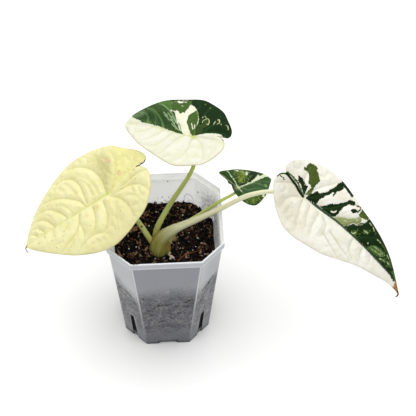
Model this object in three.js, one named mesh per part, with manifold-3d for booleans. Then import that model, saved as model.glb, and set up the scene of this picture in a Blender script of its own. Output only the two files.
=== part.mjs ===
// A young alocasia with four leaves in a square nursery pot with cut corners.
// Millimetres, +Z up. Everything is laid out from the pot's axis, with the front of the pot facing -Y,
// and at the end the whole plant is shifted so that the middle of its footprint is the origin.

import * as THREE from 'three';
import { mergeVertices } from 'three/addons/utils/BufferGeometryUtils.js';
import Module from 'manifold-3d';

const wasm = await Module();
wasm.setup();

// Pot: an octagon given by its half width across the flats and the half length of each flat
const POT_HEIGHT = 122;
const POT_WALL = 1.0;
const POT_FOOT = { halfWidth: 34.5, halfFlat: 17.5 };
const POT_SHOULDER = { halfWidth: 43.5, halfFlat: 26.4 };
const POT_COLLAR = { halfWidth: 45, halfFlat: 27 };
const COLLAR_HEIGHT = 6;
const COLLAR_LEDGE_DROP = 5.2;
const CORNER_RADIUS = 2.0;
const CORNER_STEPS = 3;
const FLOOR_UNDERSIDE = 4.4;
const FLOOR_THICKNESS = 1.2;
const SLOT_WIDTH = 3.0;
const SLOT_HEIGHT = 30;
const SLOT_TOP_SLANT = 2.2;
const SLOT_DEPTH = 8;
const NOTCH_HALF_WIDTH = 8;
const NOTCH_HEIGHT = 4.2;
const NOTCH_SLANT = 3;

// Pieces that touch keep this gap
const GAP = 0.3;

// Soil
const SOIL_LEVEL = 87;
const SOIL_BACK_RISE = 0.11;
const SOIL_SIDE_DROP = 5;
const SOIL_RINGS = 9;
const SOIL_SPOKES = 48;
const SOIL_ROUGHNESS = 1.3;
const CHIP_COUNT = 78;
const CHIP_LENGTH = [3.0, 8.5];
const CHIP_FLATNESS = 0.3;
const CHIP_TILT = 0.5;
const CHIP_SPREAD = 35;
const CHIP_SEED = 3;
const LARGE_CHIPS = [
  { at: [13, 1], size: [8, 5, 3.4], turn: 0.5 },
  { at: [-26, 4], size: [9, 6, 3.6], turn: 1.1 },
  { at: [20, -19], size: [7, 4.5, 3.2], turn: 2.3 },
];

// Corm: the rootstock, standing in a plain round hole in the soil
const CORM_AT = new THREE.Vector2(-5, -4);
const CORM_RADIUS = 6.8;
const HOLE_RADIUS = 7.3;
const HOLE_SIDES = 28;
const CORM_SIDES = 24;
const CORM_BOTTOM = 62;
const CORM_TOP = 84;
const CORM_ROUNDING = 4;

// Stalks: each is a list of [x, y, z, half width] from the foot to the blade. Each then comes up to the lower
// face of its blade at a right angle, over the last millimetres that the blade calls its approach.
const STALK_SIDES = 12;
const STALK_STEPS = 22;
const NECK_TAPER = 0.95;
const STALKS = {
  petiole_right: {
    color: 0xc9cfa2,
    route: [
      [-5, -4, CORM_TOP + GAP, 6.4],
      [-5, -3.4, 89, 6.6],
      [-1.5, -1.2, 98, 5.2],
      [8.3, 0.9, 106, 3.6],
      [27.9, 2, 117, 2.3],
      [45.5, 3, 127.5, 2.1],
      [65.9, 3.1, 141, 1.9],
      [84.6, 1.1, 146, 1.6],
    ],
  },
  petiole_top: {
    color: 0x9bab58,
    route: [
      [-6.6, -2.2, 88, 2.6],
      [-7.0, 3.6, 94.5, 2.6],
      [-5.3, 6.5, 101.5, 2.4],
      [-1.6, 9.7, 109, 2.2],
      [5.7, 14.2, 121.5, 2.0],
      [14.5, 17.2, 137, 1.8],
      [19.8, 18.8, 147, 1.7],
      [24.2, 21.6, 158, 1.6],
    ],
  },
  petiole_left: {
    color: 0xa5b054,
    route: [
      [-6.5, -2.4, 88, 2.4],
      [-11.8, 1.2, 95, 2.3],
      [-17.6, 7.2, 103, 2.1],
      [-23.4, 10.2, 113, 1.9],
      [-32.2, 8.2, 131, 1.6],
    ],
  },
  petiole_small: {
    color: 0x93a344,
    route: [
      [-2.5, -4.6, 88, 3.0],
      [3.6, -2.6, 92.5, 2.7],
      [12.2, 2.3, 99, 1.9],
      [30.5, 7.5, 115, 1.4],
      [43.9, 10.6, 126, 1.3],
      [54, 16, 127.2, 1.1],
    ],
  },
};

// Blades. u runs along the midrib from the stalk's seat towards the tip, v across it, positive on the left
// of a reader who looks along it from above. pitch is how far the midrib points down at the seat, droop is
// what the tip adds to it and rear what the lobes behind the seat add. fold lifts each half from the
// midrib, and curl adds to that lift at CURL_WIDTH from it, so a curl below zero bends the margin down.
// sway carries the midrib sideways at the tip. The outline of each half runs from the notch between the
// lobes to the tip.
const BLADE_THICKNESS = 0.7;
const BLADE_COLUMNS = 7;
const CURL_WIDTH = 35;
const MIDRIB_STEPS = 16;
const BLADES = {
  blade_left: {
    color: 0xe9e7a6,
    stalk: 'petiole_left',
    seat: [-41.7, 2.6, 150],
    approach: 8,
    heading: 190, pitch: 30, roll: -6, droop: 8, droopPower: 1.5, rear: 16,
    foldLeft: 3, foldRight: 3, curlLeft: -9, curlRight: -2,
    front: 80, back: 40, sway: 1.7,
    notch: [-33, -5],
    left: [[-38.5, 3], [-37, 14], [-26, 27.5], [-12, 34], [6, 40.5], [18, 40.5], [39, 33.5], [58, 21.5],
      [73, 9.5]],
    right: [[-38, -4.5], [-41, -8], [-36, -17.5], [-27, -26], [-13.5, -38], [4, -43.5], [25.5, -42.5],
      [49, -31], [68, -15.5]],
    tip: [80.5, 1.7],
    quilt: 1.15, ribHeight: 1.3,
  },
  blade_top: {
    color: 0x6f8f5c,
    stalk: 'petiole_top',
    seat: [24.2, 27.6, 182],
    approach: 9,
    heading: 157, pitch: 0, roll: -4, droop: 30, droopPower: 2.5, rear: 24,
    foldLeft: 9, foldRight: 9, curlLeft: -4, curlRight: -4,
    front: 62, back: 28, sway: 0,
    notch: [-20.5, -4],
    left: [[-25, 0.5], [-27.5, 7.5], [-26, 14], [-17.5, 25], [-8, 28.5], [2, 32], [9, 31.5], [23, 26.5],
      [35.5, 20.5], [49.5, 9]],
    right: [[-24.3, -4.4], [-28.6, -5.2], [-28.5, -9.5], [-23.5, -17.5], [-15.5, -27], [-6, -32], [4, -34.4],
      [17, -30.8], [32, -25.5], [44, -16.5], [53, -8]],
    tip: [57, 0],
    quilt: 0.7, ribHeight: 1.1,
  },
  blade_right: {
    color: 0xe9e8da,
    stalk: 'petiole_right',
    seat: [105.5, -9, 150],
    approach: 4.5,
    heading: -26, pitch: 30, roll: 12, droop: 26, droopPower: 1.5, rear: 30,
    foldLeft: 10, foldRight: 4, curlLeft: -12, curlRight: -5,
    front: 105, back: 28, sway: 0,
    notch: [-24.5, 3.8],
    left: [[-28.5, 7], [-27, 14], [-19, 22.5], [-7.5, 29.3], [8, 32.6], [20, 32], [31.5, 28.5], [44, 23.8],
      [59.5, 20], [82.5, 12.8], [104, 3.4]],
    right: [[-28, 0], [-29.5, -6], [-27, -12], [-16, -21.5], [-2.5, -30], [7, -31.8], [20.5, -30.8],
      [34, -28.8], [47, -24], [64, -17], [83, -10.8], [101, -4.6]],
    tip: [117, -1.5],
    quilt: 0.95, ribHeight: 1.3,
  },
  blade_small: {
    color: 0x4c6c2e,
    stalk: 'petiole_small',
    seat: [58.5, 20.8, 129],
    approach: 2.5,
    heading: 30, pitch: 10, roll: 0, droop: 16, droopPower: 1.5, rear: 0,
    foldLeft: 6, foldRight: 3, curlLeft: -10, curlRight: -4,
    front: 30, back: 12, sway: 0,
    notch: [-3, 5],
    left: [[-4.6, 9], [-6, 16], [-4, 20.5], [4, 19.8], [11, 18], [17.7, 14.6], [25.3, 10.3], [32, 5.5]],
    right: [[-4.4, 1], [-5.6, -7], [-5.2, -14], [-2.8, -19], [1.5, -21.8], [6, -21], [11, -18.7],
      [16.5, -15.6], [23.3, -9.9], [31, -3]],
    tip: [34.5, 0],
    quilt: 0.35, ribHeight: 0.6,
  },
};

// Ribs: the side veins of every blade, from the lobe to the tip. Each one starts on the midrib, as a share of
// the way from the seat to the tip, or to the notch where it is negative, and ends at a share of the margin's
// length. It sets off turned towards the lobe by its sweep, in degrees, and then bends towards the tip. The
// blade bulges between its ribs.
const RIBS = [
  [-0.30, 0.13, 0],
  [-0.12, 0.30, 18],
  [-0.04, 0.45, 26],
  [0.02, 0.59, 30],
  [0.15, 0.68, 32],
  [0.30, 0.78, 28],
  [0.46, 0.86, 22],
  [0.62, 0.92, 14],
  [0.78, 0.965, 6],
];
const RIB_BEND_AT = 0.55;
const ROWS_PER_RIB = 3;
const QUILT_FULL_WIDTH = 9;

const RADIANS = Math.PI / 180;

// A repeatable random draw
function makeRandom(seed) {
  let state = seed;
  return () => {
    state = (state * 1664525 + 1013904223) % 4294967296;
    return state / 4294967296;
  };
}

// Builds a geometry from points and triples of point numbers
function makeGeometry(points, faces) {
  const geometry = new THREE.BufferGeometry();
  const numbers = points.flatMap((p) => [p.x, p.y, p.z]);
  geometry.setAttribute('position', new THREE.Float32BufferAttribute(numbers, 3));
  geometry.setIndex(faces.flat());
  return geometry;
}

// Skins a stack of rings with equal numbers of points, and closes both ends with a fan
function makeLoft(rings) {
  const count = rings[0].length;
  const points = rings.flat();
  const faces = [];
  for (let level = 0; level < rings.length - 1; level += 1) {
    for (let i = 0; i < count; i += 1) {
      const a = level * count + i;
      const b = level * count + (i + 1) % count;
      faces.push([a, b, b + count], [a, b + count, a + count]);
    }
  }
  for (const level of [0, rings.length - 1]) {
    const middle = new THREE.Vector3();
    for (const p of rings[level]) {
      middle.addScaledVector(p, 1 / count);
    }
    const hub = points.push(middle) - 1;
    for (let i = 0; i < count; i += 1) {
      const a = level * count + i;
      const b = level * count + (i + 1) % count;
      faces.push(level === 0 ? [hub, b, a] : [hub, a, b]);
    }
  }
  return makeGeometry(points, faces);
}

function toManifold(geometry) {
  const bare = geometry.clone();
  bare.deleteAttribute('normal');
  bare.deleteAttribute('uv');
  const merged = mergeVertices(bare, 1e-4);
  const vertProperties = new Float32Array(merged.attributes.position.array);
  const triVerts = new Uint32Array(merged.index.array);
  return new wasm.Manifold(new wasm.Mesh({ numProp: 3, vertProperties, triVerts }));
}

function fromManifold(solid) {
  const { vertProperties, triVerts } = solid.getMesh();
  const geometry = new THREE.BufferGeometry();
  geometry.setAttribute('position', new THREE.Float32BufferAttribute(vertProperties, 3));
  geometry.setIndex(new THREE.Uint32BufferAttribute(triVerts, 1));
  return geometry;
}

// One ring of the pot: an octagon at a height, with small rounds at its corners
function potRing(halfWidth, halfFlat, z) {
  const corners = [];
  for (let quarter = 0; quarter < 4; quarter += 1) {
    const turn = quarter * Math.PI / 2;
    for (const [x, y] of [[halfWidth, -halfFlat], [halfWidth, halfFlat]]) {
      corners.push(new THREE.Vector2(x, y).rotateAround(new THREE.Vector2(), turn));
    }
  }
  const reach = CORNER_RADIUS * Math.tan(Math.PI / 8);
  const ring = [];
  corners.forEach((corner, i) => {
    const before = corners[(i + 7) % 8].clone().sub(corner).setLength(reach).add(corner);
    const after = corners[(i + 1) % 8].clone().sub(corner).setLength(reach).add(corner);
    const round = new THREE.QuadraticBezierCurve(before, corner, after);
    for (const p of round.getPoints(CORNER_STEPS)) {
      ring.push(new THREE.Vector3(p.x, p.y, z));
    }
  });
  return ring;
}

// The tapered wall at a height, moved inwards by an inset
function wallRing(z, inset) {
  const t = z / (POT_HEIGHT - COLLAR_HEIGHT);
  const halfWidth = THREE.MathUtils.lerp(POT_FOOT.halfWidth, POT_SHOULDER.halfWidth, t);
  const halfFlat = THREE.MathUtils.lerp(POT_FOOT.halfFlat, POT_SHOULDER.halfFlat, t);
  return potRing(halfWidth - inset, halfFlat - inset * Math.tan(Math.PI / 8), z);
}

function collarRing(z, inset) {
  return potRing(POT_COLLAR.halfWidth - inset, POT_COLLAR.halfFlat - inset * Math.tan(Math.PI / 8), z);
}

// A prism that cuts a slot or notch: its outline stands in X and Z, and it runs outwards along -Y
function wallCutter(outline, inside, outside, turn) {
  const shape = new THREE.Shape(outline.map(([x, z]) => new THREE.Vector2(x, z)));
  const prism = new THREE.ExtrudeGeometry(shape, { depth: outside - inside, bevelEnabled: false });
  prism.rotateX(Math.PI / 2);
  prism.translate(0, -inside, 0);
  prism.rotateZ(turn);
  return toManifold(prism);
}

function makePot() {
  const shoulder = POT_HEIGHT - COLLAR_HEIGHT;
  const floorTop = FLOOR_UNDERSIDE + FLOOR_THICKNESS;
  const past = 2;
  let solid = toManifold(makeLoft([
    wallRing(0, 0), wallRing(shoulder, 0), collarRing(shoulder, 0), collarRing(POT_HEIGHT, 0),
  ]));
  const ledge = POT_HEIGHT - COLLAR_LEDGE_DROP;
  solid = solid.subtract(toManifold(makeLoft([
    wallRing(floorTop, POT_WALL), wallRing(ledge, POT_WALL), collarRing(ledge, POT_WALL),
    collarRing(POT_HEIGHT + past, POT_WALL),
  ])));
  const underFloor = [wallRing(-past, POT_WALL), wallRing(FLOOR_UNDERSIDE, POT_WALL)];
  solid = solid.subtract(toManifold(makeLoft(underFloor)));
  const notch = [
    [-NOTCH_HALF_WIDTH, -past], [NOTCH_HALF_WIDTH, -past], [NOTCH_HALF_WIDTH, 0],
    [NOTCH_HALF_WIDTH - NOTCH_SLANT, NOTCH_HEIGHT], [-NOTCH_HALF_WIDTH + NOTCH_SLANT, NOTCH_HEIGHT],
    [-NOTCH_HALF_WIDTH, 0],
  ];
  const half = SLOT_WIDTH / 2;
  const slot = [[-half, -past], [half, -past], [half, SLOT_HEIGHT], [-half, SLOT_HEIGHT - SLOT_TOP_SLANT]];
  const cutCorner = (POT_FOOT.halfWidth + POT_FOOT.halfFlat) / Math.SQRT2;
  const behindWall = 1.6 * POT_WALL;
  for (let side = 0; side < 4; side += 1) {
    const turn = side * Math.PI / 2;
    const notchCutter = wallCutter(notch, POT_FOOT.halfWidth - behindWall, POT_FOOT.halfWidth + past, turn);
    const slotCutter = wallCutter(slot, cutCorner - behindWall, cutCorner + SLOT_DEPTH, turn + Math.PI / 4);
    solid = solid.subtract(notchCutter).subtract(slotCutter);
  }
  return fromManifold(solid);
}

// Smooth hills that never line up, for the top of the soil
function soilHill(x, y) {
  return Math.sin(x * 0.31 + 1.3) * Math.cos(y * 0.27 - 0.4) + 0.6 * Math.sin(x * 0.11 - y * 0.19 + 2.1);
}

function soilTop(x, y) {
  const slope = SOIL_BACK_RISE * y - SOIL_SIDE_DROP * (x / POT_SHOULDER.halfWidth) ** 4;
  return SOIL_LEVEL + slope + SOIL_ROUGHNESS * 0.6 * soilHill(x, y);
}

// The same ring with its points spread evenly
function spacedRing(ring) {
  const loop = new THREE.CurvePath();
  ring.forEach((p, i) => {
    loop.add(new THREE.LineCurve3(p, ring[(i + 1) % ring.length]));
  });
  return loop.getSpacedPoints(SOIL_SPOKES).slice(0, SOIL_SPOKES);
}

// A bark chip: a block with uneven corners, lying nearly flat and half sunk in the soil
function makeChip(at, size, turn, tilt, random) {
  const block = new THREE.BoxGeometry(...size);
  const bare = mergeVertices(block.deleteAttribute('normal').deleteAttribute('uv'), 1e-4);
  const corner = bare.attributes.position;
  for (let i = 0; i < corner.count; i += 1) {
    const shrink = THREE.MathUtils.lerp(0.75, 1, random());
    const narrow = THREE.MathUtils.lerp(0.7, 1, random());
    corner.setXYZ(i, corner.getX(i) * shrink, corner.getY(i) * narrow, corner.getZ(i) * shrink);
  }
  bare.rotateX(tilt);
  bare.rotateZ(turn);
  bare.translate(at.x, at.y, soilTop(at.x, at.y));
  return toManifold(bare);
}

function makeSoil() {
  const floorTop = FLOOR_UNDERSIDE + FLOOR_THICKNESS + GAP;
  const highLevel = SOIL_LEVEL + 2 * SOIL_SIDE_DROP;
  const random = makeRandom(CHIP_SEED);
  const low = spacedRing(wallRing(floorTop, POT_WALL + GAP));
  const high = spacedRing(wallRing(highLevel, POT_WALL + GAP));
  const edge = low.map((p, i) => {
    const level = soilTop(high[i].x, high[i].y);
    return p.clone().lerp(high[i], (level - floorTop) / (highLevel - floorTop));
  });
  const rings = [low, edge];
  for (let ring = SOIL_RINGS - 1; ring > 0; ring -= 1) {
    const t = ring / SOIL_RINGS;
    rings.push(edge.map((p) => {
      const x = p.x * t;
      const y = p.y * t;
      const rough = SOIL_ROUGHNESS * (random() - 0.5) * (t < 0.95 ? 1 : 0.4);
      return new THREE.Vector3(x, y, soilTop(x, y) + rough);
    }));
  }
  let solid = toManifold(makeLoft(rings));
  for (const chip of LARGE_CHIPS) {
    solid = solid.add(makeChip(new THREE.Vector2(...chip.at), chip.size, chip.turn, 0.2, random));
  }
  const cornerReach = 1.5 * CHIP_SPREAD;
  for (let i = 0; i < CHIP_COUNT; i += 1) {
    const at = new THREE.Vector2(0, 0);
    do {
      at.set((2 * random() - 1) * CHIP_SPREAD, (2 * random() - 1) * CHIP_SPREAD);
    } while (Math.abs(at.x) + Math.abs(at.y) > cornerReach || at.distanceTo(CORM_AT) < 2 * CORM_RADIUS);
    const length = THREE.MathUtils.lerp(CHIP_LENGTH[0], CHIP_LENGTH[1], random() ** 2);
    const width = length * THREE.MathUtils.lerp(0.45, 0.8, random());
    const size = [length, width, length * CHIP_FLATNESS + 0.6];
    const turn = random() * Math.PI;
    solid = solid.add(makeChip(at, size, turn, CHIP_TILT * (2 * random() - 1), random));
  }
  const hole = new THREE.CylinderGeometry(HOLE_RADIUS, HOLE_RADIUS, SOIL_LEVEL, HOLE_SIDES);
  hole.rotateX(Math.PI / 2);
  hole.translate(CORM_AT.x, CORM_AT.y, CORM_BOTTOM - GAP + SOIL_LEVEL / 2);
  return fromManifold(solid.subtract(toManifold(hole)));
}

function makeCorm() {
  const profile = [new THREE.Vector2(0, CORM_BOTTOM)];
  for (let i = 0; i <= 4; i += 1) {
    const angle = i * Math.PI / 8;
    const x = CORM_RADIUS - CORM_ROUNDING + CORM_ROUNDING * Math.sin(angle);
    profile.push(new THREE.Vector2(x, CORM_BOTTOM + CORM_ROUNDING * (1 - Math.cos(angle))));
  }
  profile.push(new THREE.Vector2(CORM_RADIUS, CORM_TOP - 1));
  profile.push(new THREE.Vector2(CORM_RADIUS - 0.6, CORM_TOP));
  profile.push(new THREE.Vector2(0, CORM_TOP));
  const corm = new THREE.LatheGeometry(profile, CORM_SIDES);
  corm.rotateX(Math.PI / 2);
  corm.translate(CORM_AT.x, CORM_AT.y, 0);
  return fromManifold(toManifold(corm));
}

// Direction of the midrib at u: how far it points down, in radians
function midribPitch(blade, u) {
  const extra = u > 0 ? blade.droop * (u / blade.front) ** blade.droopPower : blade.rear * (-u / blade.back);
  return (blade.pitch + extra) * RADIANS;
}

// A point of the blade's middle surface, and the direction that its upper face looks in there
function bladePoint(blade, u, v) {
  const heading = blade.heading * RADIANS;
  const along = new THREE.Vector3(Math.cos(heading), Math.sin(heading), 0);
  const across = new THREE.Vector3(-Math.sin(heading), Math.cos(heading), 0);
  let reach = 0;
  let drop = 0;
  for (let i = 0; i < MIDRIB_STEPS; i += 1) {
    const pitch = midribPitch(blade, u * (i + 0.5) / MIDRIB_STEPS);
    reach += Math.cos(pitch) * u / MIDRIB_STEPS;
    drop += Math.sin(pitch) * u / MIDRIB_STEPS;
  }
  const pitch = midribPitch(blade, u);
  const up = along.clone().multiplyScalar(Math.sin(pitch)).setZ(Math.cos(pitch));
  const fold = v > 0 ? blade.foldLeft : blade.foldRight;
  const curl = v > 0 ? blade.curlLeft : blade.curlRight;
  const lift = (fold + curl * Math.abs(v) / CURL_WIDTH) * RADIANS;
  const roll = blade.roll * RADIANS;
  const flat = v * Math.cos(lift);
  const raised = Math.abs(v) * Math.sin(lift);
  const point = new THREE.Vector3(...blade.seat).addScaledVector(along, reach);
  point.z -= drop;
  point.addScaledVector(across, flat * Math.cos(roll) - raised * Math.sin(roll));
  point.addScaledVector(up, flat * Math.sin(roll) + raised * Math.cos(roll));
  return point;
}

// A point on the midrib, or behind the seat on the crease between the lobes
function spinePoint(blade, share) {
  if (share < 0) {
    return new THREE.Vector2(...blade.notch).multiplyScalar(-share);
  }
  const u = share * blade.tip[0];
  return new THREE.Vector2(u, blade.sway * (u / blade.front) ** 2);
}

// The ribs of one half, between the notch and the tip
function halfRibs(blade, side) {
  const bends = [blade.notch, ...blade[side], blade.tip].map(([u, v]) => new THREE.Vector3(u, v, 0));
  const margin = new THREE.CatmullRomCurve3(bends, false, 'centripetal');
  const sense = side === 'left' ? 1 : -1;
  const ribs = RIBS.map(([from, to, sweep]) => {
    const start = spinePoint(blade, from);
    const end = margin.getPointAt(to);
    const bend = start.clone().lerp(end, RIB_BEND_AT);
    bend.rotateAround(start, sense * sweep * RADIANS);
    return { start, bend, to };
  });
  const notch = new THREE.Vector2(...blade.notch);
  const tip = new THREE.Vector2(...blade.tip);
  return { margin, ribs: [{ start: notch, bend: notch, to: 0 }, ...ribs, { start: tip, bend: tip, to: 1 }] };
}

// The line across one half at a phase: whole phases are ribs, and those between blend from rib to rib
function acrossLine(half, phase) {
  const before = Math.min(Math.floor(phase), half.ribs.length - 2);
  const t = phase - before;
  const [a, b] = [half.ribs[before], half.ribs[before + 1]];
  const end = half.margin.getPointAt(THREE.MathUtils.lerp(a.to, b.to, t));
  return new THREE.QuadraticBezierCurve(
    a.start.clone().lerp(b.start, t),
    a.bend.clone().lerp(b.bend, t),
    new THREE.Vector2(end.x, end.y),
  );
}

// How far the blade bulges between its ribs: less where they run close together, and flat at the margin
function quiltHeight(blade, half, phase, share) {
  const before = acrossLine(half, Math.floor(phase)).getPoint(share);
  const after = acrossLine(half, Math.min(Math.floor(phase) + 1, half.ribs.length - 1)).getPoint(share);
  const room = Math.min(1, before.distanceTo(after) / QUILT_FULL_WIDTH);
  return blade.quilt * room * Math.sin(Math.PI * (phase % 1)) * (1 - share ** 4);
}

// The blade's net of points: rows run across it, from the left margin over the midrib to the right one
function bladeRows(blade) {
  const halves = [halfRibs(blade, 'left'), halfRibs(blade, 'right')];
  const rows = [];
  const rowCount = ROWS_PER_RIB * (RIBS.length + 1);
  for (let i = 1; i < rowCount; i += 1) {
    const phase = i / ROWS_PER_RIB;
    const row = [];
    for (let column = -BLADE_COLUMNS; column <= BLADE_COLUMNS; column += 1) {
      const share = Math.abs(column) / BLADE_COLUMNS;
      const half = halves[column < 0 ? 0 : 1];
      const spot = acrossLine(half, phase).getPoint(share);
      const height = quiltHeight(blade, half, phase, share);
      row.push({ u: spot.x, v: spot.y, height, middle: column === 0 });
    }
    rows.push(row);
  }
  return rows;
}

// Both faces of a blade are the same net of triangles, set apart by the thickness and joined at the margin
function makeBlade(blade) {
  const rows = bladeRows(blade);
  const width = 2 * BLADE_COLUMNS + 1;
  const net = [{ u: blade.notch[0], v: blade.notch[1], height: 0 }, ...rows.flat()];
  const last = net.push({ u: blade.tip[0], v: blade.tip[1], height: 0 }) - 1;
  const at = (row, column) => 1 + row * width + column;
  const faces = [];
  for (let column = 0; column < width - 1; column += 1) {
    faces.push([0, at(0, column + 1), at(0, column)]);
    faces.push([last, at(rows.length - 1, column), at(rows.length - 1, column + 1)]);
  }
  for (let row = 0; row < rows.length - 1; row += 1) {
    for (let column = 0; column < width - 1; column += 1) {
      const corners = [at(row, column), at(row, column + 1), at(row + 1, column + 1), at(row + 1, column)];
      if (column < BLADE_COLUMNS) {
        faces.push([corners[0], corners[1], corners[3]], [corners[1], corners[2], corners[3]]);
      } else {
        faces.push([corners[0], corners[1], corners[2]], [corners[0], corners[2], corners[3]]);
      }
    }
  }
  const middle = makeGeometry(net.map(({ u, v }) => bladePoint(blade, u, v)), faces);
  middle.computeVertexNormals();
  const normal = middle.attributes.normal;
  const place = middle.attributes.position;
  const faceUp = normal.getZ(at(Math.floor(rows.length / 2), BLADE_COLUMNS)) > 0;
  const upper = [];
  const lower = [];
  net.forEach((spot, i) => {
    const out = new THREE.Vector3().fromBufferAttribute(normal, i).multiplyScalar(faceUp ? 1 : -1);
    const point = new THREE.Vector3().fromBufferAttribute(place, i);
    point.addScaledVector(out, spot.height);
    const rib = spot.middle && spot.u > 0 ? blade.ribHeight * (1 - spot.u / blade.tip[0]) : 0;
    upper.push(point.clone().addScaledVector(out, BLADE_THICKNESS / 2));
    lower.push(point.clone().addScaledVector(out, -BLADE_THICKNESS / 2 - rib));
  });
  const loop = [0];
  for (let row = 0; row < rows.length; row += 1) {
    loop.push(at(row, 0));
  }
  loop.push(last);
  for (let row = rows.length - 1; row >= 0; row -= 1) {
    loop.push(at(row, width - 1));
  }
  const under = net.length;
  const turned = faceUp ? faces : faces.map(([a, b, c]) => [a, c, b]);
  const closed = [...turned, ...turned.map(([a, b, c]) => [a + under, c + under, b + under])];
  loop.forEach((a, i) => {
    const b = loop[(i + 1) % loop.length];
    const [from, to] = faceUp ? [b, a] : [a, b];
    closed.push([from, from + under, to + under], [from, to + under, to]);
  });
  return makeGeometry([...upper, ...lower], closed);
}

// The lower face of a blade where its stalk meets it, and the direction the stalk comes from
function stalkSeat(blade) {
  const pitch = blade.pitch * RADIANS;
  const heading = blade.heading * RADIANS;
  const roll = blade.roll * RADIANS;
  const normal = new THREE.Vector3(0, -Math.sin(roll), Math.cos(roll));
  normal.applyAxisAngle(new THREE.Vector3(0, 1, 0), pitch);
  normal.applyAxisAngle(new THREE.Vector3(0, 0, 1), heading);
  const under = BLADE_THICKNESS / 2 + blade.ribHeight + GAP;
  const seat = new THREE.Vector3(...blade.seat).addScaledVector(normal, -under);
  return { seat, normal };
}

// A stalk is skinned along its route, with a round section that tapers, grown by a margin when it cuts others
function makeStalk(name, grow) {
  const { route } = STALKS[name];
  const blade = Object.values(BLADES).find((entry) => entry.stalk === name);
  const { seat, normal } = stalkSeat(blade);
  const lastWidth = route[route.length - 1][3];
  const approach = seat.clone().addScaledVector(normal, -blade.approach);
  const stops = [...route.map(([x, y, z]) => new THREE.Vector3(x, y, z)), approach, seat];
  const widths = [...route.map((stop) => stop[3]), lastWidth * NECK_TAPER, lastWidth];
  const curve = new THREE.CatmullRomCurve3(stops, false, 'centripetal');
  const widthCurve = new THREE.SplineCurve(widths.map((w, i) => new THREE.Vector2(i, w)));
  const lastSide = new THREE.Vector3(0, 1, 0);
  const rings = [];
  for (let i = 0; i <= STALK_STEPS; i += 1) {
    const t = curve.getUtoTmapping(i / STALK_STEPS);
    const centre = curve.getPoint(t);
    const tangent = curve.getTangent(t);
    if (i === 0 && name === 'petiole_right') {
      tangent.set(0, 0, 1);
    }
    if (i === STALK_STEPS) {
      tangent.copy(normal);
    }
    const side = lastSide.clone().addScaledVector(tangent, -lastSide.dot(tangent)).normalize();
    lastSide.copy(side);
    const other = new THREE.Vector3().crossVectors(tangent, side);
    const radius = widthCurve.getPoint(t).y + grow;
    const ring = [];
    for (let k = 0; k < STALK_SIDES; k += 1) {
      const angle = 2 * Math.PI * k / STALK_SIDES;
      ring.push(centre.clone()
        .addScaledVector(side, radius * Math.cos(angle))
        .addScaledVector(other, radius * Math.sin(angle)));
    }
    rings.push(ring);
  }
  return toManifold(makeLoft(rings));
}

const plant = new THREE.Group();

function addPiece(name, geometry, color, roughness) {
  const material = new THREE.MeshStandardMaterial({ color, roughness, metalness: 0 });
  const mesh = new THREE.Mesh(geometry, material);
  mesh.name = name;
  plant.add(mesh);
}

addPiece('pot', makePot(), 0xc9cbce, 0.45);
addPiece('soil', makeSoil(), 0x2b1c14, 0.95);
addPiece('corm', makeCorm(), 0x6b5233, 0.8);

// The stalks clasp one another at the foot: each one is cut clear of those placed before it
const placed = [];
for (const [name, { color }] of Object.entries(STALKS)) {
  let stalk = makeStalk(name, 0);
  for (const earlier of placed) {
    stalk = stalk.subtract(makeStalk(earlier, GAP));
  }
  addPiece(name, fromManifold(stalk), color, 0.5);
  placed.push(name);
}

for (const [name, blade] of Object.entries(BLADES)) {
  addPiece(name, makeBlade(blade), blade.color, 0.5);
}

const footprint = new THREE.Box3().setFromObject(plant);
const middle = footprint.getCenter(new THREE.Vector3());
plant.position.set(-middle.x, -middle.y, -footprint.min.z);

export default plant;
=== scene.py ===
# %% [markdown]
# # A potted variegated alocasia
# A young house plant with four arrow-shaped leaves stands in a frosted square nursery pot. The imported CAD
# model says where every piece is. This lesson dresses it: the soft solids are replaced by finer pieces of
# the same form, and each surface gets a material made from nodes alone.

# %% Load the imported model
import math
import random

import bmesh
import bpy
import numpy as np
from mathutils import Matrix, Vector, noise


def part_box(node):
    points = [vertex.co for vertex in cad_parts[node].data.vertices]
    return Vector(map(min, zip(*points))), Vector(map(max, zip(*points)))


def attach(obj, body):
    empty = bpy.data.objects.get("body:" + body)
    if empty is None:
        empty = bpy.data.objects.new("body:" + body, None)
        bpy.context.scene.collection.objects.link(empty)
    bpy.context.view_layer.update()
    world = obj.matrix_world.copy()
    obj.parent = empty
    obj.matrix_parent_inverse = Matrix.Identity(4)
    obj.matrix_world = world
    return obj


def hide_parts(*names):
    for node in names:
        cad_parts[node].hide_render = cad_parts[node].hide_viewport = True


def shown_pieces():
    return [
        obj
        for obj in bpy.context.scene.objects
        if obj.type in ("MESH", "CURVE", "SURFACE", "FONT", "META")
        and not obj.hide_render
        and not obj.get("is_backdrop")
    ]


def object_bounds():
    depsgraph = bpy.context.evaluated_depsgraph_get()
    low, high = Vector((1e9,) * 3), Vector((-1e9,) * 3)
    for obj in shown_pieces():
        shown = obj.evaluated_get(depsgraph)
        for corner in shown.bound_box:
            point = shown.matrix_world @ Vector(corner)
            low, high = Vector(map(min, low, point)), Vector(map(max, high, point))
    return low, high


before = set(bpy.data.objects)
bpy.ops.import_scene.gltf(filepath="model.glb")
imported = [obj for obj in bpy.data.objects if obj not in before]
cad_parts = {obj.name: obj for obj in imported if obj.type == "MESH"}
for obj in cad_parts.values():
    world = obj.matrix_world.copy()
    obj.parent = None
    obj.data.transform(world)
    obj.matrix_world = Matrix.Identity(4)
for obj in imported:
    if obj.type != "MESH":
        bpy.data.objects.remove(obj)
cad_low, cad_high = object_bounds()
print("nodes:", sorted(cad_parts))

# %% [markdown]
# The plant is laid out in millimetres from the pot's own axis, because that is how one would measure it on
# a bench. Blender works in metres from the middle of the whole footprint, so one function moves a list of
# points from the first to the second. It reads the pot's box, so the two can never drift apart.

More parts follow.
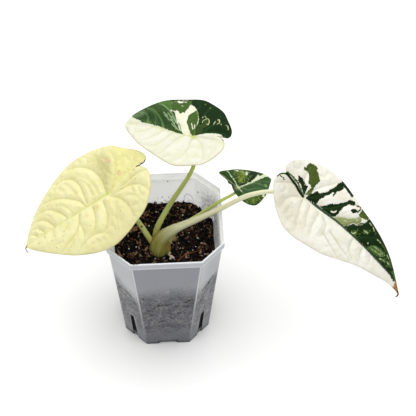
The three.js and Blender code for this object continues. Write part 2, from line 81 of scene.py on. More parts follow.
# %% Millimetres from the pot's axis
MM = 0.001
pot_low, pot_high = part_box("pot")
POT_AXIS = np.array([(pot_low.x + pot_high.x) / 2, (pot_low.y + pot_high.y) / 2, pot_low.z])


def in_scene(points):
    """Millimetres from the foot of the pot's axis, as metres in the scene."""
    return np.asarray(points, float) * MM + POT_AXIS


print("pot axis at", POT_AXIS.round(4), "and", round((pot_high.z - pot_low.z) / MM, 1), "mm high")

# %% [markdown]
# The photograph was taken from above and in front, with a long lens. A camera is a place and three
# directions: to its right, up, and back towards the photographer. Writing those out from the angles keeps
# the small tilt of the hand-held camera, which a look-at constraint would lose.

# %% The camera
LENS = 112.5
SENSOR = 36
VIEW_HEIGHT = math.radians(50.5)
VIEW_TURN = math.radians(-4.1)
VIEW_ROLL = math.radians(0.8)
VIEW_DISTANCE = 1018.7
AIM_HEIGHT = 100
AIM_RIGHT = 33.76
AIM_UP = 21.76

camera_back = Vector((
    math.sin(VIEW_TURN) * math.cos(VIEW_HEIGHT),
    -math.cos(VIEW_TURN) * math.cos(VIEW_HEIGHT),
    math.sin(VIEW_HEIGHT),
))
level_right = Vector((math.cos(VIEW_TURN), math.sin(VIEW_TURN), 0))
level_up = camera_back.cross(level_right)
camera_right = math.cos(VIEW_ROLL) * level_right + math.sin(VIEW_ROLL) * level_up
camera_up = math.cos(VIEW_ROLL) * level_up - math.sin(VIEW_ROLL) * level_right
aim = Vector((0, 0, AIM_HEIGHT)) + AIM_RIGHT * level_right + AIM_UP * level_up
eye = Vector(in_scene(aim + VIEW_DISTANCE * camera_back))

camera_data = bpy.data.cameras.new("camera")
camera_data.lens = LENS
camera_data.sensor_width = SENSOR
camera = bpy.data.objects.new("camera", camera_data)
bpy.context.scene.collection.objects.link(camera)
turn = Matrix((camera_right, camera_up, camera_back)).transposed()
camera.matrix_world = Matrix.Translation(eye) @ turn.to_4x4()
bpy.context.scene.camera = camera
print("camera at", [round(value, 3) for value in eye])

# %% [markdown]
# ## Tools
# A colour on a screen is coded in sRGB, but light adds up in linear numbers, so each hex value goes through
# one conversion. One small function adds a node with its settings and links. A setting with a small letter
# is a property of the node, and any other is a socket. Among the links, a node stands for its first output.

# %% Colours and nodes
def linear(code):
    """An sRGB hex colour as the linear RGBA that a socket takes."""
    shares = [int(code[i:i + 2], 16) / 255 for i in (1, 3, 5)]
    return tuple(s / 12.92 if s <= 0.04045 else ((s + 0.055) / 1.055) ** 2.4 for s in shares) + (1.0,)


def link(tree, node, links):
    """Links sockets to a node's inputs. A node stands for its first output."""
    for key, source in dict(links).items():
        tree.links.new(source.outputs[0] if hasattr(source, "outputs") else source, node.inputs[key])


def add(tree, kind, settings=(), links=()):
    """Adds a shader node, sets its properties and sockets, and links other nodes or sockets to it."""
    node = tree.nodes.new("ShaderNode" + kind)
    for key, value in dict(settings).items():
        if isinstance(key, str) and key[0].islower():
            setattr(node, key, value)
        else:
            node.inputs[key].default_value = value
    link(tree, node, links)
    return node


def blank_material(name, look):
    """A material with nothing in it but the Principled shader, with its look, and the output."""
    material = bpy.data.materials.new(name)
    material.use_nodes = True
    tree = material.node_tree
    tree.nodes.clear()
    shader = add(tree, "BsdfPrincipled", look)
    add(tree, "OutputMaterial", (), {"Surface": shader})
    return material, tree, shader


print("linear mid grey:", [round(value, 3) for value in linear("#808080")])

# %% [markdown]
# Every material here is built up in glazes, as a painter does it: a colour is laid over the last one
# wherever some values, such as a noise or a note on the mesh, have risen far enough. Patterns are drawn in
# millimetres, so a noise's scale is one over the size of its grain.

# %% Glazes
MIX_SHARE, MIX_UNDER, MIX_OVER, MIX_RESULT = 0, 6, 7, 2


def glaze(tree, under, over, *steps):
    """Lays a colour over another where every step has risen. A step is a value, the two ends between which
    it rises, and its top share. A colour is a hex value, a socket or a node."""
    share = None
    for value, start, end, top in steps:
        risen = add(tree, "MapRange", {"From Min": start, "From Max": end, "To Max": top}, {"Value": value})
        if share is not None:
            risen = add(tree, "Math", {"operation": "MULTIPLY"}, {0: share, 1: risen})
        share = risen
    settings, links = {"data_type": "RGBA"}, {MIX_SHARE: share}
    for key, colour in ((MIX_UNDER, under), (MIX_OVER, over)):
        if isinstance(colour, str):
            settings[key] = linear(colour)
        else:
            links[key] = colour
    return add(tree, "Mix", settings, links).outputs[MIX_RESULT]


def set_stops(ramp, tones, places=None):
    """Gives a ramp its tones, at these places or evenly spread."""
    places = places or [i / (len(tones) - 1) for i in range(len(tones))]
    stops = ramp.color_ramp.elements
    stops[0].color, stops[1].color = linear(tones[0]), linear(tones[-1])
    for place, tone in zip(places[1:-1], tones[1:-1]):
        stops.new(place).color = linear(tone)


def place_of(tree):
    """The place on a piece, in millimetres."""
    place = add(tree, "TexCoord")
    return add(tree, "VectorMath", {"operation": "SCALE", "Scale": 1 / MM}, {0: place.outputs["Object"]})


def notes_of(tree, *names):
    """What is noted on the mesh under each of these names."""
    return [add(tree, "Attribute", {"attribute_name": name}).outputs["Fac"] for name in names]


print("a glaze blends the inputs", MIX_UNDER, "and", MIX_OVER, "of a mix by its input", MIX_SHARE)

# %% [markdown]
# A natural shape is easiest to describe by the few points that it passes through. The next functions draw a
# smooth line through such points, measure it, and say how far any place on a leaf is from a line or from
# the edge of a patch. Those distances later make the creases and the markings.

# %% Smooth lines
def smooth_line(points, steps=8):
    """A centripetal Catmull-Rom line through the points, which never loops or overshoots."""
    points = np.asarray(points, float)
    ends = [2 * points[0] - points[1], *points, 2 * points[-1] - points[-2]]
    spots = []
    for p0, p1, p2, p3 in zip(ends, ends[1:], ends[2:], ends[3:]):
        d0, d1, d2 = (max(np.linalg.norm(b - a), 1e-6) ** 0.5 for a, b in ((p0, p1), (p1, p2), (p2, p3)))
        t1 = ((p1 - p0) / d0 - (p2 - p0) / (d0 + d1) + (p2 - p1) / d1) * d1
        t2 = ((p2 - p1) / d1 - (p3 - p1) / (d1 + d2) + (p3 - p2) / d2) * d1
        t = np.linspace(0, 1, steps, endpoint=False)[:, None]
        square, cube = 3 * (p2 - p1) - 2 * t1 - t2, 2 * (p1 - p2) + t1 + t2
        spots.append(p1 + t1 * t + square * t ** 2 + cube * t ** 3)
    return np.vstack([*spots, points[-1:]])


def reach_along(line):
    """How far along a line each of its points is."""
    return np.concatenate([[0], np.cumsum(np.linalg.norm(np.diff(line, axis=0), axis=1))])


def along_line(line, shares):
    """The points at these shares of the line's length."""
    reach = reach_along(line)
    return np.stack([np.interp(np.asarray(shares) * reach[-1], reach, axis) for axis in line.T], axis=1)


def distance_to(points, line, limit=12):
    """How far each point is from a line, no more than the limit, and at which share of the line."""
    gap = np.full(len(points), float(limit))
    share = np.zeros(len(points))
    reach = reach_along(line)
    inside = ((points > line.min(0) - limit) & (points < line.max(0) + limit)).all(1)
    near = points[inside]
    near_gap, near_share = gap[inside], share[inside]
    for i, (a, b) in enumerate(zip(line, line[1:])):
        step = b - a
        t = np.clip((near - a) @ step / max(step @ step, 1e-12), 0, 1)
        length = np.linalg.norm(near - a - t[:, None] * step, axis=1)
        closer = length < near_gap
        near_gap[closer] = length[closer]
        near_share[closer] = ((reach[i] + t * math.sqrt(step @ step)) / reach[-1])[closer]
    gap[inside], share[inside] = near_gap, near_share
    return gap, share


MARKING_REACH = 6


def depth_in(points, corners, smooth=True):
    """How far each point is inside a closed patch, and below zero how far it is outside."""
    closed = [*corners, corners[0]]
    loop = smooth_line(closed, 4) if smooth else np.asarray(closed, float)
    gap, _ = distance_to(points, loop, MARKING_REACH)
    inside = np.zeros(len(points), bool)
    for a, b in zip(loop, loop[1:]):
        crosses = (a[1] > points[:, 1]) != (b[1] > points[:, 1])
        if crosses.any():
            rise = (points[:, 1] - a[1]) / (b[1] - a[1] if b[1] != a[1] else 1)
            inside ^= crosses & (points[:, 0] < a[0] + rise * (b[0] - a[0]))
    return np.where(inside, gap, -gap)


print("a test line is", len(smooth_line([[0, 0], [1, 1], [2, 0]])), "points long")

# %% [markdown]
# Leaves, stalks and the pot are all skins, and a skin is a flat net that is bent to its form. Blender's grid
# operator makes the net. Its corners are then moved by a formula, and where two of its edges meet, the
# doubles are merged, so the skin closes without a seam.

# %% Nets and meshes
def points_of(mesh):
    """A mesh's points as rows of three numbers."""
    numbers = np.zeros(len(mesh.vertices) * 3)
    mesh.vertices.foreach_get("co", numbers)
    return numbers.reshape(-1, 3)


def move_points(mesh, points):
    mesh.vertices.foreach_set("co", np.asarray(points, np.float32).ravel())
    mesh.update()


def mesh_from(bm, name):
    """Turns a bmesh into a mesh, and frees it."""
    mesh = bpy.data.meshes.new(name)
    bm.to_mesh(mesh)
    bm.free()
    return mesh


def flat_net(name, columns, rows):
    """A flat net, with the share across and the share along it of each of its points."""
    bm = bmesh.new()
    bmesh.ops.create_grid(bm, x_segments=columns, y_segments=rows, size=0.5)
    mesh = mesh_from(bm, name)
    spots = points_of(mesh)
    return mesh, spots[:, 0] + 0.5, spots[:, 1] + 0.5


def close_net(mesh, distance, outwards=False):
    """Merges the points that lie together, and turns the faces outwards where the skin is closed."""
    bm = bmesh.new()
    bm.from_mesh(mesh)
    bmesh.ops.remove_doubles(bm, verts=bm.verts, dist=distance)
    if outwards:
        bmesh.ops.recalc_face_normals(bm, faces=bm.faces)
    bm.to_mesh(mesh)
    bm.free()


def note_on(mesh, name, values):
    """Writes one number to each point of a mesh, for its material to read."""
    layer = mesh.attributes.new(name, "FLOAT", "POINT")
    layer.data.foreach_set("value", np.asarray(values, np.float32))


def show(mesh, materials, stands_for=(), name=None, smooth=True):
    """Turns a mesh in metres into a piece of the plant."""
    for material in materials:
        mesh.materials.append(material)
    mesh.polygons.foreach_set("use_smooth", [smooth] * len(mesh.polygons))
    piece = bpy.data.objects.new(name or mesh.name, mesh)
    bpy.context.scene.collection.objects.link(piece)
    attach(piece, "root")
    if stands_for:
        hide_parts(*stands_for)
    return piece


test_net, across, along = flat_net("test", 3, 2)
print("a net of 3 by 2 faces has", len(test_net.vertices), "points")
bpy.data.meshes.remove(test_net)

# %% [markdown]
# ## The blades
# Each blade is described flat first, as if it were pressed: u runs along the midrib in millimetres, from the
# stalk's seat towards the tip, and v across it, positive on the left of somebody who looks towards the tip.
# The outline of each half runs from the notch between the lobes to the tip. The other values bend the blade,
# in degrees: pitch is how far it points down at the seat, droop what the tip adds to that, rear what the
# lobes add, fold how far each half lifts from the midrib, and curl how its margin turns from there. Sway and
# bow bend the midrib to the side, in millimetres.

# %% Forms of the four blades
BLADES = {
    "blade_left": {
        "seat": (-41.7, 2.6, 150),
        "heading": 190, "pitch": 30, "roll": -6, "droop": 8, "droop_power": 1.5, "rear": 16,
        "fold": (3, 3), "curl": (-9, -2), "front": 80, "back": 40, "sway": 1.7, "bow": 1.4,
        "notch": (-33, -5),
        "left": [(-38.5, 3), (-37, 14), (-26, 27.5), (-12, 34), (6, 40.5), (18, 40.5), (39, 33.5), (58, 21.5),
                 (73, 9.5)],
        "right": [(-38, -4.5), (-41, -8), (-36, -17.5), (-27, -26), (-13.5, -38), (4, -43.5), (25.5, -42.5),
                  (49, -31), (68, -15.5)],
        "tip": (80.5, 1.7), "relief": 2.1, "rib_height": 1.3, "net": (120, 280),
    },
    "blade_top": {
        "seat": (24.2, 27.6, 182),
        "heading": 157, "pitch": 0, "roll": -4, "droop": 30, "droop_power": 2.5, "rear": 24,
        "fold": (9, 9), "curl": (-4, -4), "front": 62, "back": 28, "sway": 0, "notch": (-20.5, -4),
        "left": [(-25, 0.5), (-27.5, 7.5), (-26, 14), (-17.5, 25), (-8, 28.5), (2, 32), (9, 31.5), (23, 26.5),
                 (35.5, 20.5), (49.5, 9)],
        "right": [(-23.9, -3.5), (-26.2, -2.5), (-28.9, -3.9), (-29.3, -7.2), (-28.3, -10.3), (-23.5, -17.5),
                  (-15.5, -27), (-6, -32), (4, -34.4), (17, -30.8), (32, -25.5), (44, -16.5), (53, -8)],
        "tip": (57, 0), "relief": 2.0, "rib_height": 1.1, "net": (120, 240),
    },
    "blade_right": {
        "seat": (105.5, -9, 150),
        "heading": -26, "pitch": 30, "roll": 12, "droop": 26, "droop_power": 1.5, "rear": 30,
        "fold": (10, 4), "curl": (-12, -5), "front": 105, "back": 28, "sway": 0, "notch": (-24.5, 3.8),
        "left": [(-28.5, 7), (-27, 14), (-19, 22.5), (-7.5, 29.3), (8, 32.6), (20, 32), (31.5, 28.5),
                 (44, 23.8), (59.5, 20), (82.5, 12.8), (104, 3.4)],
        "right": [(-28, 0), (-29.5, -6), (-27, -12), (-16, -21.5), (-2.5, -30), (7, -31.8), (20.5, -30.8),
                  (34, -28.8), (47, -24), (64, -17), (83, -10.8), (101, -4.6)],
        "tip": (117, -1.5), "relief": 1.9, "rib_height": 1.3, "net": (110, 320),
    },
    "blade_small": {
        "seat": (58.5, 20.8, 129),
        "heading": 30, "pitch": 10, "roll": 0, "droop": 16, "droop_power": 1.5, "rear": 0,
        "fold": (6, 3), "curl": (-10, -4), "front": 30, "back": 12, "sway": 0, "notch": (-3, 5),
        "left": [(-4.2, 7.5), (-3, 11), (-2.9, 15), (-4, 18), (-4.3, 20.2), (-2.4, 21.5), (4, 20), (11, 18),
                 (17.7, 14.6), (25.3, 10.3), (32, 5.5)],
        "right": [(-4.4, 1), (-5.6, -7), (-5.2, -14), (-2.8, -19), (1.5, -21.8), (6, -21), (11, -18.7),
                  (16.5, -15.6), (23.3, -9.9), (31, -3)],
        "tip": (34.5, 0), "relief": 1.0, "rib_height": 0.6, "net": (80, 150),
    },
}
BLADE_THICKNESS = 0.7
CURL_WIDTH = 35
for blade_name, blade in BLADES.items():
    rearmost = min(u for u, _ in blade["left"] + blade["right"])
    print(blade_name, "is", blade["tip"][0] - rearmost, "mm long")

# %% [markdown]
# The net of a blade follows the way its side veins grow. Each one leaves the midrib, bends and ends on the
# margin, and the rows of the net blend from one to the next. So the rows fan out round the lobes, crowd
# together at the tip, and every face keeps a fair shape.

# %% The net of a blade, laid flat
VEIN_FAN = [
    (-0.30, 0.13, 0), (-0.12, 0.30, 18), (-0.04, 0.45, 26), (0.02, 0.59, 30), (0.15, 0.68, 32),
    (0.30, 0.78, 28), (0.46, 0.86, 22), (0.62, 0.92, 14), (0.78, 0.965, 6),
]
FAN_BEND_AT = 0.55


def spine_point(blade, share):
    """A point on the midrib, or on the crease between the lobes where the share is below zero."""
    if share < 0:
        return -share * np.array(blade["notch"], float)
    u = share * blade["tip"][0]
    bow = blade.get("bow", 0) * math.sin(math.pi * share)
    return np.array([u, blade["sway"] * (u / blade["front"]) ** 2 + bow])


def margin_line(blade, side):
    return smooth_line([blade["notch"], *blade[side], blade["tip"]], 40)


def half_net(blade, side, shares, phases):
    """Flat places in one half: the share runs from the midrib to the margin, the phase from vein to vein."""
    sense = 1 if side == "left" else -1
    margin = margin_line(blade, side)
    notch = np.array(blade["notch"], float)
    starts, bends, ends = [notch], [notch], [0.0]
    for start_share, end_share, sweep in VEIN_FAN:
        start = spine_point(blade, start_share)
        half_way = FAN_BEND_AT * (along_line(margin, [end_share])[0] - start)
        angle = math.radians(sense * sweep)
        turned = (
            half_way[0] * math.cos(angle) - half_way[1] * math.sin(angle),
            half_way[0] * math.sin(angle) + half_way[1] * math.cos(angle),
        )
        starts.append(start)
        bends.append(start + turned)
        ends.append(end_share)
    for chain, last in ((starts, blade["tip"]), (bends, blade["tip"]), (ends, 1.0)):
        chain.append(np.array(last, float))
    steps = np.arange(len(ends))
    start, bend = (
        np.stack([np.interp(phases, steps, np.array(chain)[:, axis]) for axis in (0, 1)], axis=1)
        for chain in (starts, bends)
    )
    end = along_line(margin, np.interp(phases, steps, ends))
    s = shares[:, None]
    return (1 - s) ** 2 * start + 2 * s * (1 - s) * bend + s ** 2 * end


def flat_blade(name, blade):
    """A blade's net as a mesh that lies flat, in millimetres."""
    mesh, across, along = flat_net(name, *blade["net"])
    phases = along * (len(VEIN_FAN) + 1)
    on_left = across < 0.5
    flat = np.zeros((len(across), 3))
    flat[on_left, :2] = half_net(blade, "left", 1 - 2 * across[on_left], phases[on_left])
    flat[~on_left, :2] = half_net(blade, "right", 2 * across[~on_left] - 1, phases[~on_left])
    move_points(mesh, flat)
    close_net(mesh, 1e-3)
    return mesh


# %% [markdown]
# Bending the flat blade is one formula. The midrib follows a line that points down more and more, and each
# half stands out from it at an angle that changes towards the margin. The upward direction at each place
# comes from two short steps along the surface, and is where the relief is added later.

# %% Bend a flat blade into its form
MIDRIB_STEPS = 16


def bend_blade(blade, flat):
    """Places of a blade's middle surface, in millimetres from the pot's axis."""
    u, v = flat[:, 0], flat[:, 1]
    heading, roll = math.radians(blade["heading"]), math.radians(blade["roll"])
    forward = np.array([math.cos(heading), math.sin(heading), 0])
    leftward = np.array([-math.sin(heading), math.cos(heading), 0])

    def pitch_at(spot):
        front = blade["droop"] * (np.maximum(spot, 0) / blade["front"]) ** blade["droop_power"]
        rear = blade["rear"] * np.maximum(-spot, 0) / blade["back"]
        return np.radians(blade["pitch"] + front + rear)

    reach, drop = np.zeros(len(u)), np.zeros(len(u))
    for step in range(MIDRIB_STEPS):
        pitch = pitch_at(u * (step + 0.5) / MIDRIB_STEPS)
        reach += np.cos(pitch) * u / MIDRIB_STEPS
        drop += np.sin(pitch) * u / MIDRIB_STEPS
    pitch = pitch_at(u)
    upward = np.outer(np.sin(pitch), forward) + np.outer(np.cos(pitch), (0, 0, 1))
    fold = np.where(v > 0, blade["fold"][0], blade["fold"][1])
    curl = np.where(v > 0, blade["curl"][0], blade["curl"][1])
    lift = np.radians(fold + curl * np.abs(v) / CURL_WIDTH)
    sideways, raised = v * np.cos(lift), np.abs(v) * np.sin(lift)
    place = np.array(blade["seat"]) + np.outer(reach, forward) - np.outer(drop, (0, 0, 1))
    place += np.outer(sideways * math.cos(roll) - raised * math.sin(roll), leftward)
    return place + (sideways * math.sin(roll) + raised * math.cos(roll))[:, None] * upward


def up_from(blade, flat, step=0.4):
    """The direction that the upper face looks in."""
    ahead = bend_blade(blade, flat + (step, 0)) - bend_blade(blade, flat - (step, 0))
    beside = bend_blade(blade, flat + (0, step)) - bend_blade(blade, flat - (0, step))
    normal = np.cross(ahead, beside)
    return normal / np.linalg.norm(normal, axis=1)[:, None]


print("the left blade's tip is at",
      bend_blade(BLADES["blade_left"], np.array([BLADES["blade_left"]["tip"]])).round(1))

# %% [markdown]
# The relief of these blades is their character: between its sunken veins the blade is puffed up like a
# quilt. Each blade has its own veins, which are drawn here as lines through a few points. Main veins lie
# deepest, and the finer ones that cross between them only dent the puffs.

# %% Veins of the yellow blade
VEINS = {}
VEINS["blade_left"] = {
    "main": [
        [(1, 0), (1, -6), (1.5, -15), (5, -23.5), (10, -30.5), (17, -35.5), (26, -39)],
        [(18.5, -1.5), (19, -9), (19.5, -16.5), (22, -24.5), (28, -30.5), (34, -32.5), (39, -31.5)],
        [(20.5, -0.5), (24, -7), (30, -12.5), (38, -18), (46, -21.5), (54.5, -23)],
        [(37.5, 1.5), (40.5, -4.5), (45.5, -10.5), (51.5, -15.5), (59, -17), (63, -17)],
        [(50, 1.5), (54, -5.5), (59, -10.5), (64.5, -12), (68.5, -11.5)],
        [(61, -1), (64.5, -6), (69, -7.5)], [(67.5, -0.5), (71, -4), (74.5, -5.5)],
        [(-2, 0), (-7, -6), (-10.5, -12), (-13, -18.5), (-14, -27), (-12.5, -32)],
        [(-3.5, -1.5), (-10, -4), (-17.5, -6), (-25.5, -8.5), (-30, -12), (-34, -16.5)],
        [(-1.5, 3.5), (-7, 8), (-11, 14.5), (-13, 22), (-13, 28), (-10, 32), (-5.5, 35.5)],
        [(-2, 3), (-12, 3), (-20, 4.5), (-27, 8.5), (-31, 13.5), (-33, 17.5)],
        [(-3, 1.5), (-14.5, 0.5), (-23.5, -1), (-31, 0), (-38.5, 2)],
        [(5.5, 4), (5, 11.5), (6, 18.5), (9, 24.5), (12, 27.5), (18.5, 26), (23.5, 25.5), (32, 28),
         (37, 31)],
        [(15, 4.5), (15, 10.5), (16.5, 17.5), (20, 23), (25.5, 24)],
        [(27.5, 4), (29, 9.5), (28, 16.5), (28, 21.5), (30.5, 26.5)],
        [(29, 9.5), (33.5, 15.5), (39.5, 19), (45, 21.5), (51, 24)],
    ],
    "cross": [
        [(6.5, 0), (7.5, -6), (9, -13), (11.5, -19), (16.5, -25), (22, -28.5)],
        [(12, -5), (13, -13), (15, -19), (18.5, -23.5)],
        [(25, -11.5), (26, -17.5), (28.5, -23), (32, -28), (36.5, -30)],
        [(33.5, -17.5), (34.5, -22.5), (38, -27.5), (42.5, -29)], [(46, -23), (47, -26.5), (50, -27.5)],
        [(32, 0), (34.5, -6), (38, -10.5), (43.5, -14)],
        [(48, 0.5), (50.5, -5.5), (53, -10.5), (57, -13.5)],
        [(4.5, -22), (-2, -22), (-8, -23.5), (-13.5, -25.5)], [(-4, -23), (-6, -17), (-9.5, -12)],
        [(9.5, -29.5), (4.5, -25), (1, -27), (-0.5, -31.5), (1, -36.5), (5.5, -41)],
        [(9, -32), (8, -36.5), (9, -40.5), (12, -43.5)], [(15, -36.5), (14.5, -40), (15.5, -43), (18, -44)],
        [(-3, -33), (-7.5, -28.5), (-13, -25.5)], [(-5, -33), (-4.5, -36), (-2, -40)],
        [(-14.5, -20.5), (-20, -20.5), (-24, -20.5), (-27.5, -24)],
        [(-17.5, -14.5), (-21, -18), (-24, -20)], [(-25, -19.5), (-26, -15), (-29, -12.5)],
        [(-31, -13.5), (-36, -12), (-40, -7.5)],
        [(-9.5, 10.5), (-15, 11), (-21, 15), (-23, 20), (-23.5, 24)],
        [(-14, 22), (-18, 21.5), (-24.5, 25.5)], [(-21.5, 7), (-20.5, 11.5), (-21.5, 15)],
        [(-26.5, 12), (-25.5, 15.5), (-28, 20.5)], [(-15, 27), (-19, 28), (-21, 31)],
        [(-7, 10), (-3.5, 13.5), (-2.5, 19.5)], [(5, 17.5), (1, 20), (-0.5, 24.5), (0.5, 28.5)],
        [(7.5, 24.5), (4, 28), (3.5, 31), (5.5, 34.5)], [(11.5, 29), (9, 32.5), (9.5, 36)],
        [(-4, 24.5), (-3, 28), (-2.5, 31.5)], [(15.5, 32), (18.5, 34), (23.5, 36.5)],
        [(18.5, 32.5), (23.5, 31.5), (29, 33)], [(38, 19), (38, 22), (42, 24.5)],
        [(47.5, 17.5), (53, 16.5), (57.5, 17.5)], [(51, 2.5), (52.5, 6.5), (55.5, 11)],
        [(38, 4), (39.5, 8), (43.5, 11)], [(-26, -1.5), (-32, -0.5), (-37.5, 3)],
    ],
}

# %% [markdown]
# The half-green blade is seen at a slant. Its side veins run out nearly straight, with few cross veins.

# %% Veins of the half-green blade
VEINS["blade_top"] = {
    "main": [
        [(0, 1), (0.5, 5.5), (-0.5, 11), (0.5, 18), (2.5, 24), (7, 29.5)],
        [(-1.5, 0), (-6, 3), (-9.5, 8), (-12.5, 14), (-14.5, 20), (-15, 24.5)],
        [(7, 0.5), (11, 7.5), (14.5, 17), (17.5, 24.5), (20, 27.5)],
        [(16, 0.5), (19.5, 10), (24, 18), (31.5, 20.5)], [(23.5, -0.5), (27.5, 7.5), (32.5, 14), (39, 16)],
        [(32.5, -1), (37, 5), (44, 8.5)], [(-2, -0.5), (-9, -1), (-16, -0.5), (-23.5, 2)],
        [(0, -1), (0, -6.5), (1, -12.5), (3, -18.5), (6, -23), (4.5, -27.5), (8, -31.5)],
        [(10.5, -3), (16, -8), (20.5, -13), (26, -18), (30.5, -20.5), (35.5, -21.5)],
        [(24.5, -1.5), (28, -7), (33, -12), (38.5, -15.5), (42.5, -15.5)],
        [(38, -4.5), (39.5, -8.5), (42.5, -11.5)],
        [(-0.5, -1.5), (-4.5, -5), (-12, -7), (-22.5, -6.5), (-28, -4)],
        [(-6.5, -8), (-10, -12), (-15, -16), (-21, -16.5)],
        [(0, -11), (-1, -19.5), (-4, -27.5), (-7.5, -31.5)],
    ],
    "cross": [
        [(31.5, -2.5), (32.5, -8), (35.5, -12), (40, -15)],
        [(-12.5, 11.5), (-14, 8.5), (-17.5, 10), (-20, 15)], [(0.5, 18.5), (-2.5, 20.5), (-3.5, 25)],
        [(13.5, 28), (11, 25), (6.5, 25.5), (4.5, 27.5)], [(-7, 21.5), (-10.5, 19.5), (-14, 19.5)],
        [(-14, -3.5), (-17, -1.5), (-21, -1)], [(-12.5, 15.5), (-18, 18), (-20, 20.5)],
        [(-1, 11), (-4.5, 11), (-6.5, 9), (-9.5, 9)], [(13.5, 16), (12.5, 12.5), (9.5, 10.5)],
    ],
}

# %% [markdown]
# The white blade is long, so its veins lean more and more towards the tip.

# %% Veins of the white blade
VEINS["blade_right"] = {
    "main": [
        [(0, -1), (0.5, -7), (2.5, -14.5), (4.5, -21.5), (6.5, -25.5)],
        [(7, -2.5), (8, -7.5), (9.5, -14), (12, -19.5)], [(16, -3.5), (16, -10), (16, -15.5), (18, -22)],
        [(21, -4), (25.5, -8), (26.5, -13.5), (25.5, -19)],
        [(26.5, -14.5), (35.5, -18), (41.5, -20.5), (47, -22.5)],
        [(31.5, -10), (41, -13), (49, -15.5), (56.5, -17)],
        [(50.5, -1.5), (50.5, -7.5), (53, -12), (57, -14.5)], [(61.5, -2), (62, -8), (64.5, -10.5)],
        [(70.5, -1.5), (72.5, -6)], [(-1, -0.5), (-7.5, -5), (-11.5, -10.5), (-12.5, -17.5), (-13, -22)],
        [(-2, -0.5), (-8.5, 1), (-14.5, 2), (-20, -2), (-27, -8.5)],
        [(-0.5, 1), (2.5, 7.5), (7.5, 15.5), (13.5, 22.5), (19.5, 32)],
        [(-1.5, 2), (-5.5, 6), (-8, 12.5), (-9, 22.5)], [(12.5, 1), (21.5, 5.5), (27, 12), (35, 21.5)],
        [(26, 1.5), (34.5, 7), (42.5, 12), (46.5, 19)], [(38.5, 0.5), (45, 8), (52, 15.5), (55, 20)],
        [(53, 0.5), (58, 6.5), (65.5, 12), (68, 15.5)], [(64, 1), (69.5, 7.5), (78.5, 10)],
        [(77, 2), (81.5, 7), (87.5, 9)],
    ],
    "cross": [
        [(-5.5, -20), (-6.5, -17), (-2, -12.5)], [(-2.5, -24), (-3, -21.5), (0.5, -18.5)],
        [(-21, -4), (-18, -4.5), (-17, -7.5), (-19.5, -12)], [(34, -22), (36, -19), (38.5, -19.5)],
        [(4.5, -23.5), (7, -19.5), (10, -22)], [(-26, 14), (-22, 12.5), (-17, 15.5), (-18, 18)],
        [(1, 22.5), (6, 24.5), (6.5, 28.5), (11.5, 31), (13.5, 28.5)],
        [(2, 0.5), (6.5, 5.5), (12.5, 13), (18.5, 24), (24, 29)],
    ],
}

# %% [markdown]
# The small mottled blade is young and still nearly smooth. It has single veins and hardly a cross vein.

# %% Veins of the mottled blade
VEINS["blade_small"] = {
    "main": [
        [(0.5, 0.5), (1.5, 4.5), (2, 9), (1.5, 11), (2, 14), (2.5, 17), (2, 20)],
        [(0.5, 0), (4, 3), (7, 6.5), (11, 10), (16, 14)], [(2.5, 0), (10, 2), (15, 6), (20.5, 11.5)],
        [(10, 0), (17, 2), (23, 6.5), (26, 8.5)],
        [(0.5, -0.5), (0, -3.5), (0.5, -8), (-0.5, -15), (-0.5, -20.5)],
        [(3, -1), (6, -5.5), (13.5, -6.5), (18, -9)], [(14, 0.5), (18, -2.5), (23, -7.5)],
    ],
    "cross": [[(0, -0.5), (-3, -1), (-4.5, -5.5)]],
}
print("veins:", {name: len(kinds["main"]) + len(kinds["cross"]) for name, kinds in VEINS.items()})

# %% [markdown]
# Each point of a blade gets the height of its puff from the nearest vein: nothing on the vein, then rising
# fast and levelling off a few millimetres away. The main veins have a round floor, and cross veins start
# part way up. All widths are in millimetres. The same distances are written on the mesh, so that the
# material can tint the creases. On the pale blades the tint is darker, as painted shade in the creases. On
# the small green blade it is paler, the colour of its veins.

# %% Relief of a blade
PUFF_WIDTH = 3.2
CREASE_ROUND = 0.35
CROSS_START = 1.5
CREASE_TINT_WIDTH = 0.65
MARGIN_FADE = 2.6
UNDER_RIB_WIDTH = 1.1
UNDER_VEIN_WIDTH = 0.8
THIN_SHARE = 0.3
VEIN_FADE = 1.2
TINT_FADE = 0.6
UNDER_VEIN_SHARE = 0.4
UNDER_RIB_FADE = 0.85
RIB_TINT_TIP, RIB_TINT_SEAT = 0.3, 0.9
SEAT_TINT = 2.4
FAR = 99.0


def midrib_line(blade):
    return np.array([spine_point(blade, share) for share in np.linspace(0, 1, 60)])


